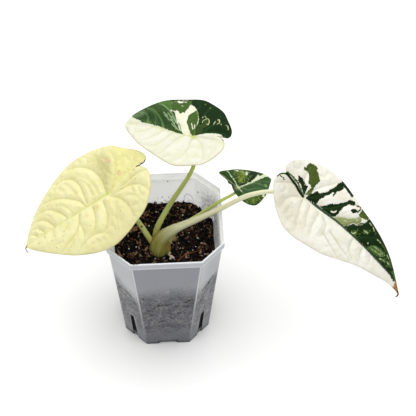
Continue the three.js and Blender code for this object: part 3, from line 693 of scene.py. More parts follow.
def relief_of(blade, veins, flat):
    """Height, crease tint, midrib tint, distance from the margin, and thickness share of each point."""
    puff = np.full(len(flat), 1.0)
    tint, under = np.zeros(len(flat)), np.zeros(len(flat))

    def dent(gap, start, share):
        floor = np.hypot(gap, CREASE_ROUND) - CREASE_ROUND + start + VEIN_FADE * share ** 2
        return 1 - np.exp(-floor / PUFF_WIDTH)

    for kind, start, strength in (("main", 0.0, 1.0), ("cross", CROSS_START, 0.45)):
        for points in veins[kind]:
            gap, share = distance_to(flat, smooth_line(points, 5))
            puff = np.minimum(puff, dent(gap, start, share))
            line = strength * np.exp(-(gap / CREASE_TINT_WIDTH) ** 2) * (1 - TINT_FADE * share)
            tint = np.maximum(tint, line)
            vein_rib = np.exp(-(gap / UNDER_VEIN_WIDTH) ** 2) * (1 - share) * UNDER_VEIN_SHARE * strength
            under = np.maximum(under, vein_rib)
    rib_gap, rib_share = distance_to(flat, midrib_line(blade))
    puff = np.minimum(puff, dent(rib_gap, 0.0, 0 * rib_share))
    under = np.maximum(under, np.exp(-(rib_gap / UNDER_RIB_WIDTH) ** 2) * (1 - UNDER_RIB_FADE * rib_share))
    margin = np.full(len(flat), FAR)
    for side in ("left", "right"):
        margin = np.minimum(margin, distance_to(flat, margin_line(blade, side))[0])
    height = blade["relief"] * puff * (1 - np.exp(-margin / MARGIN_FADE))
    rib_width = RIB_TINT_TIP + (RIB_TINT_SEAT - RIB_TINT_TIP) * (1 - rib_share)
    rib = np.exp(-(rib_gap / rib_width) ** 2) * (1 - rib_share) ** 1.2
    rib = np.maximum(rib, np.exp(-(np.linalg.norm(flat, axis=1) / SEAT_TINT) ** 2))
    thin = THIN_SHARE + (1 - THIN_SHARE) * under
    return height, tint, rib, margin, thin


# %% [markdown]
# The markings are patches with crisp but ragged edges, because a variegated leaf is a patchwork of cells
# with and without green. Each patch is drawn flat as an outline, a stripe or a dot, and every point of the
# blade is told how deep inside the marking it is. The material turns that depth into a sharp edge wherever
# it passes zero, so a marking is much finer than the mesh.

# %% Kinds of marking
def patch(*corners):
    return "patch", corners


def stripe(width, *points):
    return "stripe", (width, points)


def dots(radius, *spots):
    return "dots", (radius, spots)


def wash(level, *corners):
    """A patch that stays just under the surface, so that only the ragged noise breaks through it."""
    return "wash", (level, corners)


print("a dot is kept as", dots(0.5, (1, 2)))

# %% [markdown]
# The yellow blade has no green at all, only paler and deeper stretches, tan and pink blemishes and dark
# specks. The stretch named shade is painted shade. In what order the markings lie over one another is said
# later, with their tones.

# %% Markings of the yellow blade
MARKINGS = {}
MARKINGS["blade_left"] = {
    "pink": [
        patch((-16.5, -9), (-14, -7.5), (-12.5, -9.5), (-13.5, -12.5), (-16, -12)),
        dots(1.6, (-8, -27), (-9.5, -24.5)), dots(0.9, (26, 35)),
    ],
    "orange": [dots(1.5, (10.5, 7), (21, 9), (0.5, 7)), dots(0.7, (-5.7, -2.7))],
    "specks": [
        dots(0.42, (38.5, -32), (39.5, -29.5), (46.5, -27), (43, -14.5), (50.5, -18.5), (56, -21.5),
            (32, -35.5), (10, -40.5), (-23, -22), (-26, -0.5), (-23, 0.5), (-26.5, 3.5), (-15.5, -2),
            (-12, 2.5), (-27.5, -4.5), (-6, 20), (3.5, 30), (43, 10), (51.5, 9.5), (45, 13.5), (61, 4),
            (60.5, 6), (55.5, 11.5), (67, 7), (64, -4), (29.5, 28.5), (41.5, 25), (53.5, 19), (21, 18),
            (63, -18.5)),
    ],
    "lobe": [
        patch((-12.9, -34.2), (-24.2, -30.4), (-32.3, -20.5), (-39, -12.5), (-40.1, -4.8), (-31.5, -5.5),
            (-20.4, -3.7), (-3.8, -0.3), (-5.1, -9.9), (-11.4, -20.3)),
    ],
    # painted shade on the far half near the seat
    "shade": [
        patch((0.6, -36), (-6.1, -31.6), (-10.1, -22.2), (-7.2, -10.5), (-1.5, -1.7), (0.7, -12.4),
            (1.9, -23.7)),
    ],
    "low_right": [
        patch((-2.1, 5.5), (-12.2, 11.7), (-21.4, 24), (-16.7, 34), (-1.5, 41), (14, 43), (21.4, 38.3),
            (13, 30.1), (5.2, 16.9)),
    ],
    "dead_edge": [stripe(0.45, (-30.5, -5.6), (-33, -5), (-35.5, -4.9), (-38, -4.5), (-39.5, -5.5))],
    "dead_tip": [dots(1.6, (80.5, 1.7))],
}

# %% [markdown]
# The midrib parts the half-green blade. The far half is green in several tones, with a cream patch and
# streaks between them, and the near half is plain cream. Near the tip a pale haze over the green is a
# painted sheen.

# %% Markings of the half-green blade
MARKINGS["blade_top"] = {
    "left_green": [
        patch((55, -6.5), (51, -14), (43, -21), (35, -28), (28, -30), (26, -24.5), (24, -21.5), (23.5, -18),
            (21, -16.5), (17.5, -10.5), (15, -7.5), (10.5, -3), (8.5, -0.2), (16.5, -0.2), (26.5, -1.3),
            (36.5, -2.1), (43, -2.3), (46.5, -3.5)),
    ],
    "deep": [patch((8, -2), (20, -2.5), (34, -4), (44, -6), (40, -12), (28, -13), (18, -11), (12, -6))],
    "dark_green": [
        patch((13, -34), (8.5, -37), (5.5, -38), (-4.5, -36), (-16.5, -31), (-25, -22.5), (-32, -10.5),
            (-33, -3), (-28, 0), (-25, -1), (-23, -3.6), (-19, -6), (-8, -5), (-1.5, -2), (0, -1.5),
            (1, -8.5), (1, -14), (2.5, -18.5), (5.5, -23.5), (8.5, -25.5), (11, -26)),
    ],
    "olive": [
        patch((0.5, -11.5), (-2.5, -12.5), (-3.5, -15.5), (-5.5, -17.5), (-8, -15.5), (-8, -12), (-5, -9),
            (-4.5, -5.5), (-1, -2.5), (0, -2.5), (0, -7.5)),
    ],
    "left_light": [
        patch((35.8, -22.1), (36, -30), (27.8, -30), (25.6, -23.8), (23.7, -17.8), (24.3, -17.7),
            (27.7, -18.9), (31.3, -20.9), (34.9, -21.2)),
        patch((39.4, -4.8), (36.9, -4.5), (34.7, -3.3), (36.2, -2), (39, -2.5)),
    ],
    # a painted sheen, paler and greyer, over the green near the tip
    "haze": [
        patch((55, -4.4), (54, -9), (50, -13), (46.5, -15), (42.7, -10.9), (43.5, -8), (46.7, -5.8),
            (50.5, -5)),
    ],
    "top_band": [
        patch((29, -27.5), (28, -31), (20, -34), (12, -36), (10.5, -33), (12.3, -30), (16.1, -29.3),
            (18, -28.4), (21.2, -27.4), (22.7, -26.9), (26.2, -25)),
    ],
    "mid_green": [
        patch((25.8, -24.8), (22.9, -26.8), (20.4, -27.6), (17.5, -28.2), (15.6, -29), (12.5, -30.4),
            (11.2, -27.8), (11.7, -24), (11.7, -22.2), (12.7, -20), (12.7, -17.5), (14.6, -17.3),
            (15.9, -15.8), (17.4, -16.8), (19.4, -18.2), (20.6, -17.3), (23.5, -17.9), (24.9, -21.1)),
        patch((6, -23.5), (4, -21), (2.5, -18.5), (1.5, -14), (1, -8.5), (0, -3.5), (0.5, -1), (2.5, -1.5),
            (4.5, -3.5), (7, -7.5), (9, -10), (9.5, -13.5), (9.5, -16.5), (7.5, -20)),
    ],
    "cream": [
        patch((11, -26), (8.5, -25.5), (6.2, -23.5), (7.7, -20), (9.7, -16.5), (9.3, -13.5), (9, -10),
            (7, -6.5), (3.5, -2), (3.5, -0.5), (8.5, -0.5), (10.7, -3), (12.5, -6.5), (15, -9),
            (15.5, -7.5), (17.3, -10.5), (19, -14), (19.5, -17), (18.5, -17.5), (17.5, -15.7), (16, -15.8),
            (14.5, -17), (12.7, -16.8), (13, -19), (12, -21.5), (11.8, -24.5)),
        patch((22.3, -26.2), (21.1, -27), (19.2, -26.8), (17.8, -27.4), (17.2, -26.4), (18.8, -25.5),
            (20.3, -24.9)),
        stripe(0.35, (17.3, -23), (16.4, -22.8)), stripe(0.35, (16.4, -27.2), (15, -26.8)),
        stripe(0.35, (24.6, -17.9), (23.4, -17.1)), stripe(0.35, (5, -10), (2.6, -6)),
        stripe(0.3, (2.5, -10), (1.6, -7)), stripe(0.3, (14.3, -6.5), (13.1, -4.8), (11.2, -2)),
    ],
    "streaks": [
        stripe(0.22, (33.3, -21.5), (30.5, -20.4), (27.5, -18.6), (25.5, -17), (22.8, -15.2), (19.8, -11.8),
            (17.1, -9.1), (14.3, -6.5)),
        stripe(0.3, (28.9, -14), (26.7, -12.7), (24.6, -11.9)),
        stripe(0.25, (27.5, -11.8), (24.7, -10.5), (22.7, -8.2)),
        stripe(0.3, (25.5, -14.5), (23, -12.3), (21, -10.1)),
        stripe(0.4, (21.3, -9.3), (18.8, -7.3), (16, -4.6), (12.8, -2.2)),
        stripe(0.3, (20.6, -12.3), (18.6, -10.1), (15.9, -7.4)),
        stripe(0.3, (19.4, -5.7), (16.4, -3.8), (14.6, -2.3)), stripe(0.25, (17.9, -8.9), (17.5, -6.2)),
        stripe(0.25, (25.1, -11.7), (25.7, -10.2)), stripe(0.18, (23, -10.5), (21, -7.5)),
        stripe(0.18, (22, -12.4), (19, -8.6)),
    ],
    "flecks": [
        stripe(0.22, (-0.5, -18.4), (-1.2, -19.2)), stripe(0.25, (-2.2, -20), (-3.2, -19.2), (-3.8, -18.6)),
        stripe(0.2, (-1.2, -17.9), (-2, -18.4)),
        stripe(0.28, (-2.2, -13.6), (-2.4, -15.4), (-3.6, -16.5), (-4.8, -17.5), (-6.5, -17.1),
            (-7.5, -15.9), (-7.8, -14.3), (-7.5, -12.8), (-6.4, -12.9)),
        stripe(0.25, (-11.5, -14.2), (-12.2, -16.1), (-12.8, -16.9)),
        stripe(0.4, (-13.9, -18.2), (-15, -18.6), (-15.7, -17.4), (-15.6, -15.8), (-14.4, -14.8)),
        stripe(0.25, (-17.9, -14.9), (-18.6, -13.6)),
        stripe(0.3, (-22.4, -14.1), (-24.3, -13.1), (-25, -13.4)),
        stripe(0.25, (-24.5, -12.4), (-25.5, -11), (-25.6, -9.6)),
    ],
    "green_flecks": [
        dots(0.6, (1.1, -30), (-3.7, -28.3)), dots(0.35, (-11.9, -27), (-15.4, -21.4), (-6, -26.4)),
    ],
    "white_tip": [
        patch((55, 2), (57.5, 0), (56, -2.5), (53, -7.5), (50.5, -5.7), (46.5, -4), (43, -3), (46, -1)),
    ],
    "dead_edge": [stripe(0.5, (-23, -1.6), (-24.3, -0.6))],
}

# %% [markdown]
# The white blade is green on one side of its midrib only: first in broken stripes that follow the veins,
# then all over towards the dried tip. Near the seat its white is dimmed with painted shade.

# %% Markings of the white blade
MARKINGS["blade_right"] = {
    # painted shade near the seat, on the near half and along the midrib
    "painted_shade": [
        patch((-21.6, -14.7), (-17.7, -7.8), (-6.6, -10.8), (4.3, -14.8), (13.9, -21.1), (8.6, -26.8),
            (-4, -26), (-14.3, -22.6)),
        patch((-18.9, 1.4), (-7.8, 1.1), (-0.8, -0.1), (1.4, -4.3), (-8.1, -5.1), (-18.9, -4.8)),
    ],
    "mid_green": [
        stripe(0.7, (-24, 4.8), (-18, 5.6), (-11, 5.2), (-6, 3.2), (-1, 0.8)),
        stripe(0.9, (-29, -4), (-28.3, -1.3), (-26.5, 1.3), (-24, 3.2)),
        stripe(0.55, (-27.5, -2.2), (-25, -1.5), (-22.5, -1.4)),
        patch((-15.5, 18.5), (-13, 19), (-12.5, 22.5), (-11, 25.5), (-8.5, 26.5), (-5.5, 27), (-3, 26),
            (-2.5, 24), (0.5, 23), (2, 20.5), (3.7, 18), (3.6, 15.5), (2.7, 13), (3, 10), (3.4, 6),
            (2.3, 4), (1, 2.5), (0, 2.7), (0, 5.5), (0.5, 8), (0, 10.3), (-3.5, 10.7), (-5, 14.5), (-8, 18),
            (-13, 17)),
        patch((44, 24.5), (47, 26), (51.5, 25), (53.5, 21), (52.3, 18.5), (49, 16.8), (45.7, 16),
            (44, 17.7), (44.4, 21)),
    ],
    "dark_green": [
        patch((-15, 9.7), (-12.5, 10.5), (-9.7, 10.8), (-6, 9.8), (-4, 8.4), (-2.3, 8.7), (-1.5, 5.5),
            (-0.8, 2.3), (-1.3, 1.5), (-4.6, 4), (-9, 6.4), (-11, 6), (-12.8, 7.3)),
        patch((1.5, 0), (1.3, 2), (2.5, 4.6), (4.3, 7.8), (6.5, 10.5), (8, 9.6), (10.4, 12), (12.7, 14.7),
            (14, 17.6), (16.5, 22), (17.5, 26), (19.5, 28), (22.5, 28), (23.2, 25.5), (21.4, 22),
            (19.7, 19.7), (19.2, 15.3), (18, 14), (18, 17.3), (16.5, 16.6), (16, 14), (13.4, 11.8),
            (12.6, 8.4), (11, 6.2), (10.5, 1.4), (7.3, 0.7), (4.4, 0.2)),
        patch((20, 34.5), (23, 34), (26, 33.5), (29, 32), (33, 28), (32.5, 24.5), (29, 25), (26, 26.4),
            (23.2, 27.2), (20.7, 26.3), (17.5, 26.5), (20, 30.7)),
        patch((14.5, 2.3), (17.6, 5), (19.5, 8.3), (23.7, 11), (26.7, 14.3), (29.7, 17.8), (31.7, 21.4),
            (35.8, 23.3), (37.5, 22), (36.8, 19.6), (33.4, 18.3), (32, 15.6), (30.3, 13.3), (30, 10.3),
            (29.3, 6.8), (28.4, 2.2), (25, 1.2), (22, 1.2), (16, 1.2)),
        stripe(0.6, (39, 21.2), (41.8, 22.8), (43.2, 21.6), (42.4, 19), (41, 17.3)),
        patch((36, 15.5), (38, 17.8), (40.5, 18.6), (40.7, 16.4), (39.3, 14.4), (37, 14.3)),
        patch((38.5, 1), (41.4, 4.3), (44, 8.2), (47.5, 9.2), (48.5, 12.5), (52, 15.4), (53.3, 20.5),
            (55.6, 25), (61, 22), (66, 20.5), (72, 18), (79.3, 16.5), (86, 14), (92, 12), (98.4, 9),
            (106, 5), (104, 1), (94, 1), (82, 0.8), (66, 0.7), (50, 0.7), (42, 0.7)),
    ],
    "sinus": [stripe(0.95, (-24.5, 3.4), (-18, 3.6), (-11, 3.2), (-6, 1.6), (-1, 0))],
    "hole": [patch((22.5, 4.3), (25.3, 5.4), (27, 7.7), (26.6, 4.9), (24, 3.5))],
    "grey_green": [
        patch((28.4, 2.3), (31.6, 5), (36, 7.6), (39, 9.2), (42.3, 12.2), (45.4, 15.7), (47.6, 15.6),
            (48.5, 12.5), (47.3, 9.5), (43.7, 8.5), (41.6, 5.4), (40, 0.9), (36, 0.9), (29, 0.9)),
    ],
    "inner_green": [
        patch((65, 0.6), (66, 4), (69.4, 7.4), (74.5, 8.8), (80.7, 9.2), (81.5, 6.8), (77.8, 3.6),
            (73.2, 1.7), (68.4, 1.5)),
        dots(0.9, (46, 2.7), (49, 4), (52.5, 5), (56, 9.8), (58.3, 12.8), (85.6, 5.6), (89, 6.4)),
    ],
    "flecks": [
        dots(0.55, (62.7, 4.4), (55.5, 18.2), (57, 17.6)),
        stripe(0.3, (46.5, 1.8), (48.2, 1.9), (49.2, 3.8)),
        stripe(0.3, (54.2, 9.8), (56.5, 9.8), (58.3, 10.3)), stripe(0.35, (59.9, 17.1), (61.6, 15.5)),
        stripe(0.25, (79.2, 2.9), (81.6, 3.9), (84.1, 4.1)), stripe(0.25, (86.9, 5.5), (88.7, 5.1)),
        stripe(0.35, (43, 12.8), (44.8, 13.3), (45, 12.1)), stripe(0.35, (36.5, 5.2), (38.3, 5.7)),
        stripe(0.2, (82.9, 9.7), (86.3, 9.1)), stripe(0.25, (76.5, 6.5), (79, 6.7)),
        stripe(0.25, (49, 10.9), (50.6, 12.7)), stripe(0.2, (68, 12.4), (72, 12.2)),
    ],
    "midrib_green": [
        patch((0.5, 0.4), (4.7, 0.8), (8, 0.8), (12.7, 1.8), (15.3, 1.6), (20.1, 1.6), (26.8, 1.6),
            (34, 1.5), (42, 1.2), (60, 1.1), (80, 1.3), (103, 1.6), (80, 0), (60, 0), (42, 0), (34, 0.2),
            (24.5, -0.2), (14.8, -0.7), (8.1, -0.4)),
    ],
    "moss": [
        patch((46.5, 0.8), (46.8, 3.4), (48.4, 5.5), (50.1, 5), (51, 3.2), (50.4, 1.1), (48.5, 1.2)),
        patch((53.5, 7.3), (53.7, 9.5), (56, 11.4), (58.7, 11.6), (58.7, 9.6), (56.3, 8.4)),
        stripe(0.5, (56.8, 18.7), (59.1, 17.3), (62.1, 15.7), (64.7, 14.7)),
        stripe(0.35, (47.1, 1.6), (52.7, 2)), stripe(0.35, (78.8, 2.4), (83.5, 2.9), (89.3, 2.9)),
        stripe(0.4, (80.1, 4.1), (84.5, 5.4), (88.5, 7.3)),
        stripe(0.35, (82.6, 6.2), (85.5, 8), (89.8, 8.4)),
        patch((86.6, 4.6), (88.6, 3.4), (90.7, 5.1), (89.4, 8.1), (87.5, 7)),
        stripe(0.4, (70.4, 13), (75.2, 12.2), (81.5, 11.1), (86.7, 9.1), (93.3, 7.4)),
        dots(0.8, (84.1, 10.1), (92, 5.5)), patch((94, 3), (98.7, 2.7), (104, 1.6), (103.6, 3.4), (96, 5)),
        wash(0.95, (42, 1), (60, 1), (80, 1.5), (103, 2.5), (104, 5), (82, 12.5), (60, 20), (46, 23),
            (40, 12)),
    ],
    "sprinkle": [
        wash(0.6, (45, 1), (52, 1), (58, 9), (60, 13), (52, 10)),
        wash(0.6, (78, 2), (92, 3), (95, 7), (84, 10)),
        wash(0.5, (68.4, 1.8), (73.7, 2), (82, 7.5), (82, 9.5), (75, 9)),
        wash(0.75, (53, 19), (70, 15), (90, 9), (70, 12)),
        stripe(0.22, (68.4, 3.1), (73.6, 4.2), (78.8, 5.4)),
        stripe(0.22, (69.5, 6.5), (75.1, 7.2), (79.2, 7.4)),
    ],
    "specks": [dots(0.45, (-6.8, -11), (40, -24.5), (62.5, -13), (83.3, -3.2))],
    "dead_tip": [patch((103, 5), (110, 4), (120, 0), (120, -5), (104, -6), (106, -1))],
}

# %% [markdown]
# The small blade is dark green with grey-green, olive and yellow patches, pale veins and pale crumbs.

# %% Markings of the mottled blade
MARKINGS["blade_small"] = {
    "grey": [
        patch((0.5, -0.6), (8, -0.8), (17, -0.3), (25, 0), (33, 0.5), (36, -2), (30.8, -6.5), (21.9, -11),
            (8.6, -8.5), (0.3, -8.5), (-0.8, -5)),
        patch((5.4, 17.9), (9.1, 17.3), (7, 13), (4.8, 10.1), (2.6, 11.1), (3.9, 15.8)),
    ],
    "olive": [
        patch((8.5, 15.5), (11.5, 16.3), (14.8, 16), (15, 13.5), (13.5, 9.5), (11, 6.5), (8.8, 5.2),
            (6, 4.5), (5.8, 8.2), (6.5, 11.6)),
        patch((-4.5, -14.6), (-1.5, -16), (-0.5, -20.3), (4, -19.5), (9, -15.8), (5, -15), (0, -13.5)),
    ],
    "deep": [
        patch((17.8, 14), (21.4, 11.2), (25.2, 8.6), (22.5, 5), (14.6, 1.7), (8.5, 0.8), (3, 0.7),
            (1.9, 1.9), (6.1, 3.3), (11.5, 5.2)),
    ],
    "yellow": [
        patch((13.2, 15.7), (15.6, 14.8), (13.6, 11.1), (11.5, 7.6), (7.8, 5.8), (8.6, 8.8), (10.9, 12.1)),
        patch((6.5, 9.6), (8.3, 8.4), (8.5, 4.7), (6, 4.1), (4, 4.1), (4.7, 7.1)),
    ],
    "sprinkle": [
        wash(0.3, (18, 15), (20, 8), (12, 3), (5, 3), (4, 9), (7, 16), (11, 18)),
        wash(0.3, (-4.9, -14.3), (3.7, -13.4), (12.3, -14.5), (14, -16), (8.7, -19.6), (3.4, -21.3),
            (-2.6, -18.6)),
    ],
    "mottle": [
        patch((10.4, 14.2), (12.9, 14.9), (14.9, 14.4), (14.5, 12.4), (13.1, 9.6), (11.6, 9.2), (12, 11.6)),
        patch((7.1, 7.7), (8.6, 7.7), (7.9, 5.8), (6.4, 5.6)),
        stripe(0.5, (12.8, 10), (13.5, 8.7), (12.7, 7)),
        patch((22.4, -4.5), (23.9, -5.4), (23.3, -7.9), (20.8, -8.3)),
        stripe(0.4, (18.9, -2.4), (19.3, -3.6)), stripe(0.5, (2.3, -16.3), (2.6, -17.8), (1.4, -19.3)),
        stripe(0.4, (5.9, 4.7), (6.1, 3.2)), stripe(0.4, (10.3, 3), (11.1, 1.8)),
        patch((16.8, 13.2), (17.8, 12.4), (17.3, 10.4), (15.6, 9.6), (15.6, 11)),
    ],
    "pale": [
        patch((12, 0.8), (15, 2), (19.7, 4), (24.5, 6.2), (24.9, 4.6), (28.4, 5.6), (31.2, 6), (33.5, 4.5),
            (33, 3), (29, 2.6), (25, 1.9), (18, 0.9)),
        stripe(0.5, (0.6, 0), (3.5, 0.1), (7.7, 0.3), (12.9, 0.7), (17.5, 1.3), (22, 2)),
        stripe(0.42, (0.5, 0.5), (0.8, 2.6), (1.5, 6.6), (1.8, 9.9)),
        stripe(0.3, (1.8, 9.9), (2.2, 13.4), (3, 16.7), (2.7, 19)),
        stripe(0.25, (0.3, -0.5), (0.4, -3.2), (0.5, -5.5)),
        patch((8.7, 17.5), (10.8, 16.6), (11.1, 15.2), (9.8, 15.2), (8.5, 16.3)),
        patch((15.7, 12.1), (16.9, 10.8), (14.3, 8.3), (13.7, 9.3)),
        patch((13.3, -14.5), (14.6, -15.4), (12.3, -18.1), (11.9, -16.9)),
    ],
    "dead_tip": [dots(1.2, (34.5, 0))],
}

# %% [markdown]
# Each point of a blade is told how deep it lies in each marking. Below zero it lies outside, and the
# limit keeps the sums short.

# %% Depth in a marking
def marking_depth(shapes, flat):
    """How deep each point is inside any shape of a marking, in millimetres."""
    depth = np.full(len(flat), -float(MARKING_REACH))
    for kind, shape in shapes:
        if kind == "patch":
            depth = np.maximum(depth, depth_in(flat, shape))
        elif kind == "wash":
            depth = np.maximum(depth, np.minimum(depth_in(flat, shape[1]), 0) - shape[0])
        elif kind == "stripe":
            gap, _ = distance_to(flat, smooth_line(shape[1], 6), MARKING_REACH)
            depth = np.maximum(depth, shape[0] - gap)
        else:
            for spot in shape[1]:
                depth = np.maximum(depth, shape[0] - np.linalg.norm(flat - spot, axis=1))
    return depth


print("markings:", {name: list(kinds) for name, kinds in MARKINGS.items()})

# %% [markdown]
# ## Living leaf
# The material of a blade is living leaf with a satin cuticle: water under a thin wax film, so its IOR is
# about 1.4 and its gloss is soft. Chlorophyll makes the green, and where it is missing the tissue is cream
# or yellow. The markings are laid over one another in order, each in two tones that mix in small cells, and
# a third tone where a crease crosses it. The three numbers are how soft and how ragged the marking's edge
# is, in millimetres, and how well it covers.

# %% Finishes of the four blades
LEAF_MAP_WIDTH = 300
LEAF_IOR = 1.42
LEAF_GLOSS = 0.1
FINISHES = {}
# On the pale blades the crease tone is darker than the base: painted shade in the creases. On the small green
# blade it is paler, the colour of its veins.
FINISHES["blade_left"] = {
    "base": ("#DDD9A8", "#D5D199"), "crease": ("#AFA65A", 0.6), "midrib": ("#AFBC46", 0.7),
    "margin": ("#C2B87A", 0.6), "roughness": 0.45,
    "layers": [
        ("lobe", ("#E0DB98", "#D9D38C"), 4.0, 0.8, 0.8),
        # painted shade
        ("shade", ("#B8B37C", "#B0AA72"), 4.5, 0.8, 0.8),
        ("low_right", ("#D2CD98", "#CCC690"), 5.5, 0.8, 0.7),
        ("orange", ("#D6BC70", "#D0B064"), 1.4, 0.3, 0.45),
        ("pink", ("#D6A88C", "#C88A78"), 0.7, 1.0, 0.5),
        ("specks", ("#7A5A34", "#5E3F24"), 0.12, 0.1, 0.9),
        ("dead_edge", ("#4A2E18", "#2C1A0E"), 0.15, 0.3, 1),
        ("dead_tip", ("#8E7A3C", "#6A4E22"), 0.8, 0.4, 0.9),
    ],
}
FINISHES["blade_top"] = {
    "base": ("#D4D4C5", "#CFCFB7"), "crease": ("#B2B186", 0.55), "midrib": ("#AEB65A", 0.9),
    "margin": ("#B0A670", 0.75), "roughness": 0.45,
    "layers": [
        ("dark_green", ("#112C0A", "#0D2207", "#1E4420"), 0.1, 0.5, 1),
        ("left_green", ("#3E572B", "#2C4320", "#68895A"), 0.12, 0.6, 1),
        ("deep", ("#24401A", "#1C3414", "#4C6C40"), 2.5, 0.8, 0.75),
        ("left_light", ("#54743A", "#41612A", "#688848"), 0.35, 0.9, 0.85),
        # painted sheen
        ("haze", ("#8FA483", "#4C6840"), 1.2, 1.0, 0.4),
        ("top_band", ("#112C0A", "#1A3314"), 0.15, 0.6, 1),
        ("olive", ("#36481C", "#293C16"), 0.15, 0.5, 1),
        ("mid_green", ("#44602A", "#38501C", "#587432"), 0.1, 0.5, 1),
        ("cream", ("#DEDDC8", "#D8D6BA"), 0.1, 0.4, 1),
        ("streaks", ("#A9BC92", "#8DA87A"), 0.18, 0.5, 0.8),
        ("flecks", ("#D2D5A8", "#B6C282"), 0.1, 0.3, 1),
        ("green_flecks", ("#6E9236", "#5A7C2C"), 0.15, 0.3, 1),
        ("white_tip", ("#DBDBC8", "#C6CCAA"), 0.15, 0.5, 1),
        ("dead_edge", ("#3A2E16", "#2E2412"), 0.2, 0.2, 1),
    ],
}
FINISHES["blade_right"] = {
    "base": ("#E1E0D6", "#DBD8C8"), "crease": ("#B0A78A", 0.6), "midrib": ("#BEC2A0", 0.5),
    "margin": ("#C6BEA2", 0.5), "roughness": 0.45,
    "layers": [
        # painted shade near the seat
        ("painted_shade", ("#CDC8B0", "#C8C2A8"), 5.0, 0.8, 0.65),
        ("grey_green", ("#8E9668", "#7A8252", "#A2A87C"), 0.12, 0.5, 1),
        ("mid_green", ("#4A5A22", "#384A18", "#62743A"), 0.1, 0.9, 1),
        ("dark_green", ("#112804", "#0B1C04", "#1C3A18"), 0.08, 0.9, 1),
        ("sinus", ("#112804", "#0B1C04"), 0.15, 0.2, 1),
        ("inner_green", ("#4C6434", "#38521E", "#5E7A48"), 0.15, 1.2, 1),
        ("moss", ("#5A7038", "#3E5822"), 0.2, 1.7, 0.85),
        ("sprinkle", ("#B4C090", "#93A66C"), 0.15, 1.0, 0.85),
        ("hole", ("#DAD8C8", "#CCCAB2"), 0.1, 0.4, 1),
        ("flecks", ("#D2D7B8", "#AABA88"), 0.12, 0.7, 1),
        ("midrib_green", ("#2A3E28", "#3E5040"), 0.18, 0.3, 1),
        ("specks", ("#7E6240", "#5E4428"), 0.12, 0.1, 0.9),
        ("dead_tip", ("#B08A50", "#6A3A1A"), 0.6, 0.8, 1),
    ],
}
FINISHES["blade_small"] = {
    "base": ("#1E3A10", "#2C4C14"), "crease": ("#3E5C28", 0.6), "midrib": ("#98A87A", 0.8),
    "margin": ("#1A3212", 0.6), "roughness": 0.42,
    "layers": [
        ("grey", ("#2C4826", "#3A5832", "#587650"), 0.6, 0.8, 0.9),
        ("olive", ("#465A0C", "#3A5212"), 0.4, 0.9, 0.9),
        ("yellow", ("#6E780E", "#565E0C"), 0.5, 1.1, 0.85),
        ("deep", ("#0E1E06", "#14280A"), 0.6, 1.0, 0.85),
        ("mottle", ("#7E955A", "#5C7A36"), 0.3, 0.9, 0.9),
        ("sprinkle", ("#A8B47C", "#8A9A50"), 0.15, 1.1, 0.9),
        ("pale", ("#E0E2CA", "#BCC6A2"), 0.15, 1.0, 1),
        ("dead_tip", ("#8E5A3A", "#7A4A2C"), 0.3, 0.2, 1),
    ],
}
print("layers of paint:", {name: len(finish["layers"]) for name, finish in FINISHES.items()})

# %% [markdown]
# The patterns follow the blade, since they read its flat plan as a UV map. Soft clouds are about 11 mm
# across, the ragged cells that tear the markings' edges 1.3 mm, and the fine grain of the skin 0.4 mm. The
# tissue between the finest veins is raised in cushions of 7 mm, which a bent lattice gives. The underside
# has more air between its cells, so it is paler and duller.

# %% Leaf material
LEAF_PATTERNS = {"clouds": (0.09, 3, 0.5), "cells": (0.75, 5, 0.62), "grain": (2.4, 2, 0.5),
                 "swirl": (0.14, 2, 0.5)}
LATTICE_SCALE = 0.15
LATTICE_BEND = 6
LATTICE_DEPTH = 0.28
GRAIN_DEPTH = 0.06
UNDERSIDE_TONE, UNDERSIDE_SHARE, UNDERSIDE_DULLNESS = "#DCE0BC", 0.28, 0.18


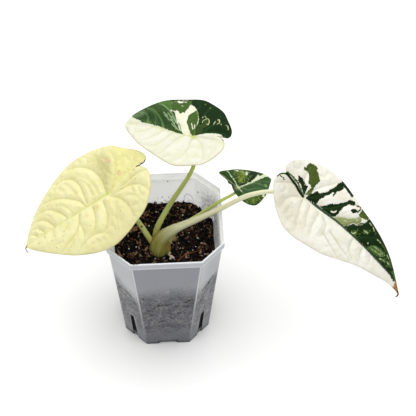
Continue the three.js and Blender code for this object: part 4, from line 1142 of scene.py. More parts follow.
def leaf_material(name, finish, side):
    """Living leaf, seen from above, or from below, where it is paler and duller."""
    under = side == "under"
    material, tree, shader = blank_material(name, {
        "Roughness": finish["roughness"] + (UNDERSIDE_DULLNESS if under else 0), "IOR": LEAF_IOR,
        "Specular IOR Level": LEAF_GLOSS})
    plan = add(tree, "UVMap", {"uv_map": "leaf"})
    plan = add(tree, "VectorMath", {"operation": "SCALE", "Scale": LEAF_MAP_WIDTH}, {0: plan})
    noises = {key: add(tree, "TexNoise", {"Scale": scale, "Detail": detail, "Roughness": roughness},
                       {"Vector": plan}) for key, (scale, detail, roughness) in LEAF_PATTERNS.items()}
    cells = noises["cells"]
    colour = glaze(tree, *finish["base"], (noises["clouds"], 0.35, 0.65, 1))
    crease, edge, rib = notes_of(tree, "crease", "edge", "rib")
    # The crease tone is painted shade in the creases of the pale blades. The margin and midrib tones are the
    # leaf's own.
    for key, value in (("crease", crease), ("margin", edge), ("midrib", rib)):
        tone, strength = finish[key]
        colour = glaze(tree, colour, tone, (value, 0, 1, strength))
    for field, tones, softness, ragged, strength in finish["layers"]:
        patchy = glaze(tree, tones[0], tones[1], (cells, 0.38, 0.62, 1))
        if len(tones) == 3:
            patchy = glaze(tree, patchy, tones[2], (crease, 0, 1, 1))
        jag = add(tree, "Math", {"operation": "MULTIPLY_ADD", 1: 4 * ragged, 2: -2 * ragged},
                  {0: cells})
        depth = add(tree, "Math", {"operation": "ADD"}, {0: notes_of(tree, field)[0], 1: jag})
        colour = glaze(tree, colour, patchy, (depth, -softness, softness, strength))
    if under:
        colour = add(tree, "Mix", {
            "data_type": "RGBA", MIX_SHARE: UNDERSIDE_SHARE, MIX_OVER: linear(UNDERSIDE_TONE),
        }, {MIX_UNDER: colour}).outputs[MIX_RESULT]
    bent = add(tree, "VectorMath", {"operation": "MULTIPLY_ADD", 1: (LATTICE_BEND,) * 3},
               {0: noises["swirl"].outputs["Color"], 2: plan})
    lattice = add(tree, "TexVoronoi", {
        "feature": "DISTANCE_TO_EDGE", "voronoi_dimensions": "2D", "Scale": LATTICE_SCALE,
    }, {"Vector": bent})
    cushions = add(tree, "MapRange", {"interpolation_type": "SMOOTHSTEP", "From Max": 0.45},
                   {"Value": lattice.outputs["Distance"]})
    bump = add(tree, "Bump", {"Strength": 0.35, "Distance": GRAIN_DEPTH * MM}, {"Height": noises["grain"]})
    bump = add(tree, "Bump", {"Strength": 1.0, "Distance": LATTICE_DEPTH * MM},
               {"Height": cushions, "Normal": bump})
    link(tree, shader, {"Base Color": colour, "Normal": bump})
    return material


print("the map of a leaf is", LEAF_MAP_WIDTH, "mm wide")

# %% [markdown]
# A blade is made in this order: its flat net, the distances and depths, the bend, the relief along the
# upward direction, and last the thickness. Solidify adds the underside. A weight on each point makes it
# thick under the midrib and the main veins, where the real ribs stand out, and thin everywhere else.

# %% Make the blades
EDGE_TINT_WIDTH = 0.7
SUNK_SHARE = 0.25


def make_blade(name, blade):
    mesh = flat_blade(name, blade)
    flat = points_of(mesh)[:, :2]
    height, tint, rib, margin, thin = relief_of(blade, VEINS[name], flat)
    plan = mesh.uv_layers.new(name="leaf")
    corner_points = np.zeros(len(mesh.loops), np.int32)
    mesh.loops.foreach_get("vertex_index", corner_points)
    plan.uv.foreach_set("vector", (flat / LEAF_MAP_WIDTH + 0.5)[corner_points].astype(np.float32).ravel())
    note_on(mesh, "crease", tint)
    note_on(mesh, "rib", rib)
    note_on(mesh, "edge", np.exp(-(margin / EDGE_TINT_WIDTH) ** 2))
    for field, shapes in MARKINGS[name].items():
        note_on(mesh, field, marking_depth(shapes, flat))
    up = up_from(blade, flat)
    raised = height - SUNK_SHARE * blade["relief"] + BLADE_THICKNESS / 2
    move_points(mesh, in_scene(bend_blade(blade, flat) + up * raised[:, None]))
    materials = [leaf_material(name + "_living_leaf", FINISHES[name], "upper"),
                 leaf_material(name + "_underside", FINISHES[name], "under")]
    piece = show(mesh, materials, [name], name + "_leaf")
    weights = piece.vertex_groups.new(name="thickness")
    for index, share in enumerate(thin):
        weights.add([index], float(share), "REPLACE")
    skin = piece.modifiers.new("thickness", "SOLIDIFY")
    skin.thickness = (BLADE_THICKNESS + blade["rib_height"]) * MM
    skin.offset = -1
    skin.vertex_group = "thickness"
    skin.material_offset = 1
    skin.material_offset_rim = 1
    folded = sum(1 for face in mesh.polygons if face.normal.z < 0)
    print(name, len(mesh.vertices), "points, faces turned down:", folded)


for blade_name, blade in BLADES.items():
    make_blade(blade_name, blade)

# %% [markdown]
# ## The stalks
# A leaf stalk is a juicy round stem with faint lengthwise ridges. It is widest at the foot, where it opens
# into a sheath that clasps the others. Each stalk follows a line of points with half widths, and comes up to
# its blade at a right angle. Its widths are smoothed, because a stalk has no steps.

# %% Routes of the stalks
CORM_TOP = 84
GAP = 0.3
NECK_TAPER = 0.95
SMOOTHING = 12
STALKS = {
    "petiole_right": ("blade_right", 4.5, [
        (-5, -4, CORM_TOP + GAP, 6.4), (-5, -3.4, 89, 6.6), (-1.5, -1.2, 98, 5.2), (8.3, 0.9, 106, 3.6),
        (27.9, 2, 117, 2.3), (45.5, 3, 127.5, 2.1), (65.9, 3.1, 141, 1.9), (84.6, 1.1, 146, 1.6),
    ]),
    "petiole_top": ("blade_top", 9, [
        (-6.6, -2.2, 88, 2.6), (-7.0, 3.6, 94.5, 2.6), (-5.3, 6.5, 101.5, 2.4), (-1.6, 9.7, 109, 2.2),
        (5.7, 14.2, 121.5, 2.0), (14.5, 17.2, 137, 1.8), (19.8, 18.8, 147, 1.7), (24.2, 21.6, 158, 1.6),
    ]),
    "petiole_left": ("blade_left", 8, [
        (-6.5, -2.4, 88, 2.4), (-11.8, 1.2, 95, 2.3), (-17.6, 7.2, 103, 2.1), (-23.4, 10.2, 113, 1.9),
        (-32.2, 8.2, 131, 1.6),
    ]),
    "petiole_small": ("blade_small", 2.5, [
        (-2.5, -4.4, 88, 3.0), (2.6, -0.8, 93, 2.7), (10.4, 5, 100, 1.9), (30, 8.4, 115.6, 1.4),
        (43.9, 10.6, 126, 1.3), (54, 16, 127.2, 1.1),
    ]),
}


def line_with_widths(stops, steps):
    """A smooth line through the stops' places, and the width between their widths all along it."""
    centres = smooth_line([stop[:3] for stop in stops], steps)
    shares = np.linspace(0, 1, len(centres))
    return centres, np.interp(shares, np.linspace(0, 1, len(stops)), [stop[3] for stop in stops])


def stalk_line(name):
    """The stalk's centre line with its half width as a fourth number, and its last direction."""
    blade_name, approach, route = STALKS[name]
    blade = BLADES[blade_name]
    turn = Matrix.Rotation(math.radians(blade["heading"]), 3, "Z") @ Matrix.Rotation(
        math.radians(blade["pitch"]), 3, "Y")
    roll = math.radians(blade["roll"])
    normal = np.array(turn @ Vector((0, -math.sin(roll), math.cos(roll))))
    seat = np.array(blade["seat"]) - (BLADE_THICKNESS / 2 + blade["rib_height"] + GAP) * normal
    width = route[-1][3]
    stops = [*route, (*(seat - approach * normal), width * NECK_TAPER), (*seat, width)]
    centres, widths = line_with_widths(stops, 30)
    window = np.ones(2 * SMOOTHING + 1) / (2 * SMOOTHING + 1)
    return centres, np.convolve(np.pad(widths, SMOOTHING, "edge"), window, "valid"), normal


print("stalks:", list(STALKS))

# %% [markdown]
# The skin is a net that is wrapped round such a line and closed at both ends. Cosine waves round it give the
# ridges. The sheath's free edge stands out as a wing on one side, thin and papery along its crest, and ends
# where the stalk leaves the others. A few brown spots lie where the stalks were bruised.

# %% Skin of a stalk
WING_WIDTH = 0.55
PAPERY_WIDTH = 0.15
PAPERY_END, PAPERY_FADE, PAPERY_TOP = 0.16, 0.05, 0.85
SHEATH = ((-0.8, 0.1, 0.6),
          ((0, 0.05), (0.05, 0.16), (0.12, 0.24), (0.18, 0.28), (0.215, 0.24), (0.226, 0.0)))
STALK_SPOTS = [(-17.6, 5.9, 104.6, 1.0), (4.4, 12.0, 121.5, 0.55), (-8.6, 2.6, 97.5, 0.6)]
NO_SPOT = -9.0


def make_skin(name, centres, widths, sides, steps, ridges=0.0, ridge_count=11, last=None, wing=None):
    """Wraps a closed skin round a centre line. The share along it is noted as along, round it as round.
    A wing is a crest that stands out in one direction, and is listed by share along the line."""
    mesh, around, along = flat_net(name, sides, steps + 2)
    rows = np.rint(along * (steps + 2)).astype(int)
    shares = np.clip((np.arange(steps + 3) - 1) / steps, 0, 1)
    line = along_line(np.column_stack([centres, widths]), shares)
    tangents = np.gradient(along_line(centres, np.linspace(0, 1, steps + 1)), axis=0)
    tangents = tangents[np.clip(np.arange(steps + 3) - 1, 0, steps)]
    if last is not None:
        tangents[-2:] = last
    tangents /= np.linalg.norm(tangents, axis=1)[:, None]
    side = np.array([0.0, 1.0, 0.0])
    sides_at, others_at = [], []
    for tangent in tangents:
        side = side - (side @ tangent) * tangent
        side /= np.linalg.norm(side)
        sides_at.append(side)
        others_at.append(np.cross(tangent, side))
    radius = line[:, 3].copy()
    radius[[0, -1]] = 0
    angle = 2 * math.pi * around
    wave = 1 + ridges * np.cos(ridge_count * angle + 3 * np.sin(2 * angle))
    outward = (np.cos(angle)[:, None] * np.array(sides_at)[rows]
               + np.sin(angle)[:, None] * np.array(others_at)[rows])
    if wing:
        towards, crest = wing
        aim_at = np.array(towards) - (np.array(towards) @ tangents.T)[:, None] * tangents
        aim_at /= np.linalg.norm(aim_at, axis=1)[:, None]
        height = np.interp(shares, *zip(*crest))[rows]
        off_crest = np.arccos(np.clip((outward * aim_at[rows]).sum(1), -1, 1))
        wave = wave + height * np.exp(-(off_crest / WING_WIDTH) ** 2)
        fade = np.clip((PAPERY_END - shares[rows]) / PAPERY_FADE, 0, PAPERY_TOP)
        note_on(mesh, "papery", np.exp(-(off_crest / PAPERY_WIDTH) ** 2) * fade)
    place = line[rows, :3] + (radius[rows] * wave)[:, None] * outward
    note_on(mesh, "along", shares[rows])
    note_on(mesh, "round", angle)
    spots = np.full(len(place), NO_SPOT)
    for x, y, z, size in STALK_SPOTS:
        spots = np.maximum(spots, size - np.linalg.norm(place - (x, y, z), axis=1))
    note_on(mesh, "spot", spots)
    move_points(mesh, in_scene(place))
    close_net(mesh, 1e-6, outwards=True)
    return mesh


print("the sheath's crest stands out by up to", max(height for _, height in SHEATH[1]), "of the half width")

# %% [markdown]
# The stalk's tissue is the same as the leaf's, but fleshier. It is pale cream-green on the big stalk and
# apple green on the others, always darker and more olive at the foot. Fine lengthwise streaks follow the
# fibres, which the material draws along the noted direction round the stalk.

# %% Stalk material
STALK_STOPS = (0, 0.09, 0.24, 1)


def stalk_material(name, foot, middle, top, streak):
    material, tree, shader = blank_material(name, {
        "Roughness": 0.42, "IOR": LEAF_IOR, "Specular IOR Level": 0.3})
    along, around, papery, spot = notes_of(tree, "along", "round", "papery", "spot")
    ramp = add(tree, "ValToRGB", (), {"Fac": along})
    set_stops(ramp, (foot, foot, middle, top), STALK_STOPS)
    fibre = add(tree, "CombineXYZ", (), {"X": around, "Y": along})
    stretched = add(tree, "VectorMath", {"operation": "MULTIPLY", 1: (6, 5, 1)}, {0: fibre})
    streaks = add(tree, "TexNoise", {"Scale": 1.0, "Detail": 4.0}, {"Vector": stretched})
    colour = glaze(tree, ramp, streak, (streaks, 0.45, 0.75, 0.5))
    colour = glaze(tree, colour, "#9C6036", (papery, 0, 1, 1))
    colour = glaze(tree, colour, "#5E3A20", (spot, -0.15, 0.25, 1))
    bump = add(tree, "Bump", {"Strength": 0.45, "Distance": 0.2 * MM}, {"Height": streaks})
    link(tree, shader, {"Base Color": colour, "Normal": bump})
    return material


pale_stalk = stalk_material("pale_leaf_stalk", "#878336", "#D2D1AD", "#E6E4C4", "#BBBC8E")
green_stalk = stalk_material("green_leaf_stalk", "#A9A752", "#BEC57A", "#A8B553", "#90A04C")
for stalk_name, finish, slot in (
    ("petiole_right", pale_stalk, "petiole_pale"), ("petiole_top", green_stalk, "petiole_green"),
    ("petiole_left", green_stalk, "petiole_green"), ("petiole_small", green_stalk, "petiole_green"),
):
    centres, widths, last = stalk_line(stalk_name)
    wing = SHEATH if stalk_name == "petiole_right" else None
    skin = make_skin(stalk_name + "_skin", centres, widths, 72 if wing else 48, 150, 0.014, 13, last, wing)
    show(skin, [finish], [stalk_name])
    print(stalk_name, round(float(np.linalg.norm(np.diff(centres, axis=0), axis=1).sum())), "mm long")

# %% [markdown]
# At the foot, in front on the right, stands the stub of an older leaf. Its stalk was cut off long ago, and
# what is left is olive with brown, dried edges.

# %% Stub of an older leaf
STUB = [(1.4, -5.2, 84.5, 2.9), (1.8, -5.0, 88, 2.8), (2.4, -4.3, 92, 2.2), (2.9, -3.6, 95.5, 1.0)]
stub_skin = stalk_material("old_leaf_stub", "#6E6A26", "#8C8636", "#8A6A34", "#5A4420")
stub_mesh = make_skin("old_leaf_stub", *line_with_widths(STUB, 12), 32, 40, 0.05, 7)
show(stub_mesh, [stub_skin])
print("old stub:", len(stub_mesh.vertices), "points")

# %% [markdown]
# ## The pot
# A nursery pot like this is pressed from a thin sheet of polypropylene. It is an octagon with four long
# flats and four cut corners, tapered, with a collar round the rim, slots in the lower corners and a notch
# in each side of the foot. The outside is made as one skin, the openings are cut out of it, and Solidify
# gives the wall its millimetre.

# %% Wall of the pot
POT_HEIGHT = 122
SHOULDER = 116
FOOT_HALF, FOOT_FLAT = 34.5, 17.5
SHOULDER_HALF, SHOULDER_FLAT = 43.5, 26.4
COLLAR_HALF, COLLAR_FLAT = 45.0, 27.0
CORNER_RADIUS = 2.0
FLAT_STEPS = 26
CORNER_STEPS = 5
WALL_ROWS = 94
STEP = 0.2
COLLAR_STEP = 1.2
WALL = 1.0


def octagon_ring(half, flat):
    """The octagon's outline as points: round each corner, then along the flat or the cut that follows."""
    corners = []
    for quarter in range(4):
        turn = Matrix.Rotation(quarter * math.pi / 2, 2)
        corners += [np.array(turn @ Vector((half, -flat))), np.array(turn @ Vector((half, flat)))]
    reach = CORNER_RADIUS * math.tan(math.pi / 8)
    ring = []
    for i, corner in enumerate(corners):
        following = corners[(i + 1) % 8]
        before, after = corners[i - 1] - corner, following - corner
        start = corner + reach * before / np.linalg.norm(before)
        end = corner + reach * after / np.linalg.norm(after)
        for t in np.linspace(0, 1, CORNER_STEPS, endpoint=False):
            ring.append((1 - t) ** 2 * start + 2 * t * (1 - t) * corner + t ** 2 * end)
        next_start = following - reach * after / np.linalg.norm(after)
        ring += [end + t * (next_start - end) for t in np.linspace(0, 1, FLAT_STEPS, endpoint=False)]
    return np.array(ring)


def wall_size(z, inset=0.0):
    """Half the wall's width at a height, and half the width of its flats."""
    t = z / SHOULDER
    tuck = inset * math.tan(math.pi / 8)
    half = FOOT_HALF + t * (SHOULDER_HALF - FOOT_HALF) - inset
    return half, FOOT_FLAT + t * (SHOULDER_FLAT - FOOT_FLAT) - tuck


def level_ring(ring, z):
    """A flat ring at a height."""
    return np.column_stack([ring, np.full(len(ring), z)])


def ring_net(name, rings):
    """A net that is wrapped round a stack of rings, its points, and the number of each one's ring."""
    rings = np.array(rings)
    mesh, around, along = flat_net(name, rings.shape[1], len(rings) - 1)
    columns = np.rint(around * rings.shape[1]).astype(int) % rings.shape[1]
    rows = np.rint(along * (len(rings) - 1)).astype(int)
    return mesh, rings[rows, columns], rows


wall_rings = [level_ring(octagon_ring(*wall_size(z)), z) for z in np.linspace(0, SHOULDER - STEP, WALL_ROWS)]
collar_heights = (SHOULDER, *np.linspace(SHOULDER + COLLAR_STEP, POT_HEIGHT - COLLAR_STEP, 4), POT_HEIGHT)
wall_rings += [level_ring(octagon_ring(COLLAR_HALF, COLLAR_FLAT), z) for z in collar_heights]
pot_mesh, places, _ = ring_net("pot_wall", wall_rings)
move_points(pot_mesh, places)
close_net(pot_mesh, 1e-3)
print("the pot's skin has", len(wall_rings), "rings of", len(wall_rings[0]), "points")

# %% [markdown]
# The slots and notches are cut with planes: bisect draws their outline into the skin, and the faces inside
# are deleted. That leaves clean straight edges, where a boolean on an open skin would fail.

# %% Openings of the pot
SLOT_HALF, SLOT_FOOT_HALF = 2.0, 2.7
SLOT_TOP = 34.5
SLOT_SLANT = 2.2
NOTCH_HALF = 8
NOTCH_TOP = 4.2
NOTCH_SLANT = 3


def cut_opening(bm, turn, outline, reach):
    """Cuts an anticlockwise outline out of the wall that faces a turn from the front."""
    outward = Vector((math.sin(turn), -math.cos(turn), 0))
    sideways = Vector((math.cos(turn), math.sin(turn), 0))
    low, high = min(z for _, z in outline) - 1, max(z for _, z in outline) + 3

    def in_reach(face):
        middle = face.calc_center_median()
        beside = abs(middle.dot(sideways)) < reach
        return middle.dot(outward) > 20 and beside and low < middle.z < high

    corners = [sideways * x + Vector((0, 0, z)) for x, z in outline]
    planes = [(a, (b - a).cross(outward)) for a, b in zip(corners, corners[1:] + corners[:1])]
    for spot, normal in planes:
        faces = [face for face in bm.faces if in_reach(face)]
        edges = {edge for face in faces for edge in face.edges}
        verts = {vert for face in faces for vert in face.verts}
        bmesh.ops.bisect_plane(bm, geom=[*faces, *edges, *verts], plane_co=spot, plane_no=normal, dist=1e-4)
    gone = [face for face in bm.faces if in_reach(face) and all(
        (face.calc_center_median() - spot).dot(normal) < 0 for spot, normal in planes)]
    bmesh.ops.delete(bm, geom=gone, context="FACES")
    return len(gone)


bm = bmesh.new()
bm.from_mesh(pot_mesh)
slot_outline = [(-SLOT_FOOT_HALF, -1), (SLOT_FOOT_HALF, -1), (SLOT_HALF, SLOT_TOP),
                (-SLOT_HALF, SLOT_TOP - SLOT_SLANT)]
notch_outline = [(-NOTCH_HALF, -1), (NOTCH_HALF, -1), (NOTCH_HALF, 0), (NOTCH_HALF - NOTCH_SLANT, NOTCH_TOP),
                 (NOTCH_SLANT - NOTCH_HALF, NOTCH_TOP), (-NOTCH_HALF, 0)]
for side in range(4):
    print("slot faces cut:", cut_opening(bm, (side + 0.5) * math.pi / 2, slot_outline, 4),
          "notch faces cut:", cut_opening(bm, side * math.pi / 2, notch_outline, 10))
bmesh.ops.recalc_face_normals(bm, faces=bm.faces)
if sum(face.normal.dot(face.calc_center_median()) for face in bm.faces) < 0:
    bmesh.ops.reverse_faces(bm, faces=bm.faces)
bm.to_mesh(pot_mesh)
bm.free()

# %% [markdown]
# ## Frosted polypropylene
# The wall lets light through but blurs it. Where damp soil rests against it, its dark bits show as grey
# mottling. Above the soil the wall looks a smooth blue-grey from outside, darkest on the front face, which is
# painted shade, and nearly white from inside, where the sheet is painted as a lit copy of itself. The
# corners, where the sheet is bent, look lighter. Soil has dried on the wall in cracks, smears and grime, and
# the right wall above the soil is greyed with painted shade under its grime. Along the slots lie a painted
# highlight and a painted shadow, and painted shade darkens the foot. The notes on the mesh say where each of
# these is. The soil's line is given by the angle round the pot, and the cracks and stains by how far right
# and how high they are, all on the sides that face the camera.

# %% Notes on the pot's wall
SOIL_LINE = [(-180, 87), (-147, 87), (-135, 79), (-122, 73), (-119, 80), (-100, 83), (-75, 85), (-57, 81),
             (-53, 79), (-45, 84), (-34, 90), (0, 88), (90, 90), (180, 87)]
CRACKS = [
    [(-10.6, 56.7), (-7.7, 60.1), (-4.5, 60.7), (-0.7, 60.7), (3, 62.2)],
    [(9.5, 59.5), (12, 57.6), (14.6, 57.2)], [(14, 63), (18.6, 66.9), (21.5, 65.4)],
    [(27.3, 72.7), (32.1, 77.8), (35, 80.4), (38.9, 85.2)], [(26.5, 57), (28, 61)], [(30, 71), (34, 77)],
    [(-38.4, 74.5), (-36.5, 70.5)],
    [(-33.5, 70), (-30.5, 69.2), (-28, 67)], [(-27, 61.5), (-25, 60), (-22.1, 60.5)], [(-36, 66), (-33, 63)],
    [(-20, 72), (-17.5, 70)], [(-13, 47), (-11.5, 44), (-12, 41)], [(-8, 34), (-4, 36), (-1, 35.4)],
    [(8, 47), (11, 49)], [(3, 41), (5.5, 39.5)], [(-16, 54), (-14.5, 52)],
]
STAINS = [(0.4, 80.7, 1.5), (-2.5, 79.2, 0.9), (5, 84.7, 0.8), (14.2, 83, 1.4), (12.4, 81.6, 0.8),
          (-18.9, 75.3, 1.3), (15.5, 59, 1.2), (19, 60.5, 1), (-16.4, 46.2, 1.3), (-12.6, 50.5, 0.9),
          (-29, 78, 1), (24, 66, 0.9), (9.5, 55.5, 0.8), (2, 46.5, 0.7), (-2, 40, 0.7)]
STAIN_STRETCH = 1.3
NEAR_SIDE, FRONT = -18, -30
FRONT_SPREAD, FRONT_FADE = 9, 0.8
CLEAR_GAP = 9.0


def rise(values, start, width):
    """Nothing up to the start, and one from the width beyond it."""
    return np.clip((values - start) / width, 0, 1)


wall = points_of(pot_mesh)
x, y, z = wall.T
half, flat = (np.where(z < SHOULDER, *sizes) for sizes in zip(wall_size(z), (COLLAR_HALF, COLLAR_FLAT)))
corner_gap, opening_gap = np.full(len(wall), CLEAR_GAP), np.full(len(wall), CLEAR_GAP)
for side in range(8):
    turn = side * math.pi / 4
    outward = np.array([math.sin(turn), -math.cos(turn)])
    sideways = np.array([math.cos(turn), math.sin(turn)])
    if side % 2:
        half_width, top = SLOT_FOOT_HALF - (SLOT_FOOT_HALF - SLOT_HALF) * z / SLOT_TOP, SLOT_TOP
    else:
        half_width, top = NOTCH_HALF, NOTCH_TOP
        for beside in (-flat, flat):
            corner = np.outer(half, outward) + np.outer(beside, sideways)
            corner_gap = np.minimum(corner_gap, np.hypot(*(wall[:, :2] - corner).T))
    gap = np.hypot(np.maximum(np.abs(wall[:, :2] @ sideways) - half_width, 0), np.maximum(z - top, 0))
    opening_gap = np.where(wall[:, :2] @ outward > 24, np.minimum(opening_gap, gap), opening_gap)
from_front = wall[:, (0, 2)]
crack_gap = np.min([distance_to(from_front, smooth_line(line, 4))[0] for line in CRACKS], axis=0)
stain = np.max([size - np.hypot((x - right) / STAIN_STRETCH, z - high) for right, high, size in STAINS],
               axis=0)
# How far each point lies on the front face, which the material darkens with painted shade.
front = np.exp(-(np.maximum(np.abs(x) - FOOT_FLAT - FRONT_SPREAD * z / SHOULDER, 0) / FRONT_FADE) ** 2)
for name, values in (
    ("corner", corner_gap), ("opening", opening_gap),
    ("crack", np.where(y < NEAR_SIDE, crack_gap, CLEAR_GAP)),
    ("stain", np.where(y < NEAR_SIDE, stain, -CLEAR_GAP)), ("front", np.where(y < FRONT, front, 0)),
    ("contact", np.interp(np.degrees(np.arctan2(y, x)), *zip(*SOIL_LINE)) - z),
    # the right wall above the soil, which the material greys with painted shade and flecks with grime
    ("grime", rise(x, 28, 8) * rise(-z, -117, 18) * rise(z, 82, 6)),
):
    note_on(pot_mesh, name, values)
    print(name, "from", round(float(np.min(values)), 2), "to", round(float(np.max(values)), 2))
move_points(pot_mesh, in_scene(wall))

# %% [markdown]
# The wall's colour is a stack of glazes. The dry wall comes first, with painted shade on its front face. Then
# comes the mottle of damp soil with its dark grains, chips and fibres, also darker on the front as painted
# shade, which fades in below the soil's line with a ragged edge. Then come dried smears, cracks, painted
# shade and grime on the right wall, light edges, a painted highlight and a painted shadow along the slots,
# painted shade at the foot, and the rim. Scales are one over a size: soft haze of 20 mm, patches of 8 mm,
# soil bits of
# 2 mm, fibres of 5 mm and grains of 1.6 mm. Frosting scatters the light in the sheet.

# %% Polypropylene material
WALL_PATTERNS = {"haze": (0.05, 3, 0.5, 0), "patches": (0.13, 2, 0.5, 0), "bits": (0.5, 6, 0.7, 0.3),
                 "strings": (0.2, 3, 0.5, 1.4), "twist": (0.5, 3, 0.5, 0), "frost": (1.6, 2, 0.5, 0)}
GRAIN_SCALE, GRAIN_TWIST = 0.62, 3
SOIL_RAGGED, MARK_RAGGED = 46, 4
COLLAR_FOOT = SHOULDER - 0.6


def frosted_polypropylene(name, scatter, clear, soil_tones, tones):
    """Frosted sheet: clear tones above the soil, soil tones where soil touches it, and tones by place, some
    of them painted shade and highlights.
    """
    tones = {"fleck": "#C0A494", "gap": "#1A1613", **tones}
    material, tree, shader = blank_material(name, {
        "Roughness": 0.42, "IOR": 1.49, "Specular IOR Level": 0.3, "Subsurface Weight": 0.9,
        "Subsurface Radius": (1, 1, 1), "Subsurface Scale": scatter * MM})
    at = place_of(tree)
    height = add(tree, "SeparateXYZ", (), {0: at}).outputs["Z"]
    noises = {key: add(tree, "TexNoise", {
        "Scale": scale, "Detail": detail, "Roughness": roughness, "Distortion": distortion,
    }, {"Vector": at}) for key, (scale, detail, roughness, distortion) in WALL_PATTERNS.items()}
    haze, patches, bits, strings = (noises[key] for key in ("haze", "patches", "bits", "strings"))
    front, contact, corner, crack, stain, opening, grime = notes_of(
        tree, "front", "contact", "corner", "crack", "stain", "opening", "grime")

    def torn(value, width):
        """A value whose zero line is torn by the bits, over a width in millimetres."""
        jag = add(tree, "Math", {"operation": "MULTIPLY_ADD", 1: width, 2: -width / 2}, {0: bits})
        return add(tree, "Math", {"operation": "ADD"}, {0: value, 1: jag})

    def gap_to(value, middle):
        gap = add(tree, "Math", {"operation": "SUBTRACT", 1: middle}, {0: value})
        return add(tree, "Math", {"operation": "ABSOLUTE"}, {0: gap})

    mottle = add(tree, "Math", {"operation": "MULTIPLY_ADD", 1: 0.4}, {0: patches, 2: bits})
    mottle = add(tree, "MapRange", {"From Min": 0.56, "From Max": 0.86}, {"Value": mottle})
    ramp = add(tree, "ValToRGB", (), {"Fac": mottle})
    set_stops(ramp, soil_tones)
    twisted = add(tree, "VectorMath", {"operation": "MULTIPLY_ADD", 1: (GRAIN_TWIST,) * 3},
                  {0: noises["twist"].outputs["Color"], 2: at})
    grains = add(tree, "TexVoronoi", {"Scale": GRAIN_SCALE}, {"Vector": twisted})
    kinds = add(tree, "SeparateXYZ", (), {0: grains.outputs["Color"]})
    in_grain = (grains.outputs["Distance"], 0.42, 0.28, 1)
    damp = ramp
    for tone, *steps in (
        ("grain", in_grain, (kinds.outputs["X"], 0.36, 0.26, 0.9)),
        ("chip", in_grain, (kinds.outputs["Y"], 0.9, 0.93, 0.6)),
        ("string", (gap_to(strings, 0.5), 0.016, 0.005, 0.9), (height, 14, 28, 1)),
        ("foot", (height, 25, 14, 0.72)),
        # painted shade on the front face
        ("deep", (front, 0, 1, 0.3)),
    ):
        damp = glaze(tree, damp, tones[tone], *steps)
    dry = glaze(tree, *clear, (haze, 0, 1, 1))
    # the face tone is painted shade on the front face
    dry = glaze(tree, dry, tones["face"], (front, 0, 1, 1))
    colour = glaze(tree, dry, damp, (torn(contact, SOIL_RAGGED), -4, 12, 0.95))
    for tone, *steps in (
        ("fleck", (gap_to(contact, 0), 8, 2, 0.8), (bits, 0.59, 0.64, 1)),
        ("fleck", (torn(stain, MARK_RAGGED), 0, 1.2, 1), (bits, 0.46, 0.6, 0.9)),
        ("crack", (torn(crack, MARK_RAGGED), 0.9, 0.55, 1)),
        # painted shade greys the right wall above the soil, and the grime flecks lie over it
        ("shade", (grime, 0, 0.7, 0.8)),
        ("grime", (grime, 0, 1, 1), (bits, 0.46, 0.56, 1)),
        ("edge", (corner, 1.0, 0.4, 1), (height, 2, 90, 0.8)),
        # a painted highlight along the slots' edges, then a thin painted shadow round every opening
        ("edge", (opening, 1.0, 0.5, 1), (height, 6, 10, 0.4)),
        ("gap", (opening, 0.35, 0.15, 1)),
        # painted shade darkens the foot of the wall
        ("deep", (height, 3.5, 0.5, 0.85)),
        ("rim", (height, COLLAR_FOOT, SHOULDER, 1)),
        ("edge", (height, COLLAR_FOOT, SHOULDER, 1), (height, 117.3, 116.8, 0.6)),
        ("top", (height, 120.9, 121.6, 1)),
    ):
        colour = glaze(tree, colour, tones[tone], *steps)
    bump = add(tree, "Bump", {"Strength": 0.25, "Distance": 0.08 * MM}, {"Height": noises["frost"]})
    link(tree, shader, {"Base Color": colour, "Normal": bump})
    return material


# %% [markdown]
# The same sheet is seen twice. From outside, the damp soil behind it makes it grey. The inside is lit from
# the open top, and its copy of the material is painted nearly white for that light, a lit copy of the sheet,
# in which light also spreads much further. Solidify gives the skin its thickness, and a small bevel rounds
# the step, the rim and the cut edges.

# %% Dress the wall
outside = frosted_polypropylene(
    "frosted_polypropylene", 0.3, ("#B8BABD", "#AAADB1"),
    ("#38383C", "#55555A", "#6C6C70", "#807F82", "#9A9694"),
    {"face": "#8C8E94", "foot": "#74767A", "string": "#121216", "edge": "#D2D3D5", "rim": "#B6B9BF",
     "top": "#D8DADC", "grain": "#2A2A32", "chip": "#A8988C", "deep": "#303238", "grime": "#A4A4A6",
     "shade": "#A8A9AC", "crack": "#101014"})
# The inside's near-white tones are painted light: a lit copy of the same sheet.
inside = frosted_polypropylene(
    "frosted_polypropylene_lit_inside", 9, ("#F8F8F8", "#F2F2F2"),
    ("#6E6C6C", "#8E8C8C", "#A4A2A2", "#B8B6B6", "#C4C0BE"),
    {"face": "#E6E7E8", "foot": "#A0A0A2", "string": "#6E6E70", "edge": "#F4F4F4", "rim": "#F4F4F4",
     "top": "#E4E6E8", "grain": "#5A5858", "chip": "#B8A89C", "deep": "#77777A", "grime": "#5C5A5E",
     "shade": "#86868A", "crack": "#5A585C"})
pot_piece = show(pot_mesh, [outside, inside], ["pot"])
wall_skin = pot_piece.modifiers.new("wall", "SOLIDIFY")
wall_skin.thickness = WALL * MM
wall_skin.offset = -1
wall_skin.material_offset = 1
wall_skin.use_even_offset = True
rounding = pot_piece.modifiers.new("rounding", "BEVEL")
rounding.width = 0.28 * MM
rounding.segments = 2
rounding.limit_method = "ANGLE"
rounding.angle_limit = math.radians(50)
print("the wall is", WALL, "mm thick")

# %% [markdown]
# The pot's floor is a plate inside the wall, a few millimetres above the table, with a low ring under it. The
# ring shows grey in the notches of the foot, and from below the pot would look open without the plate.

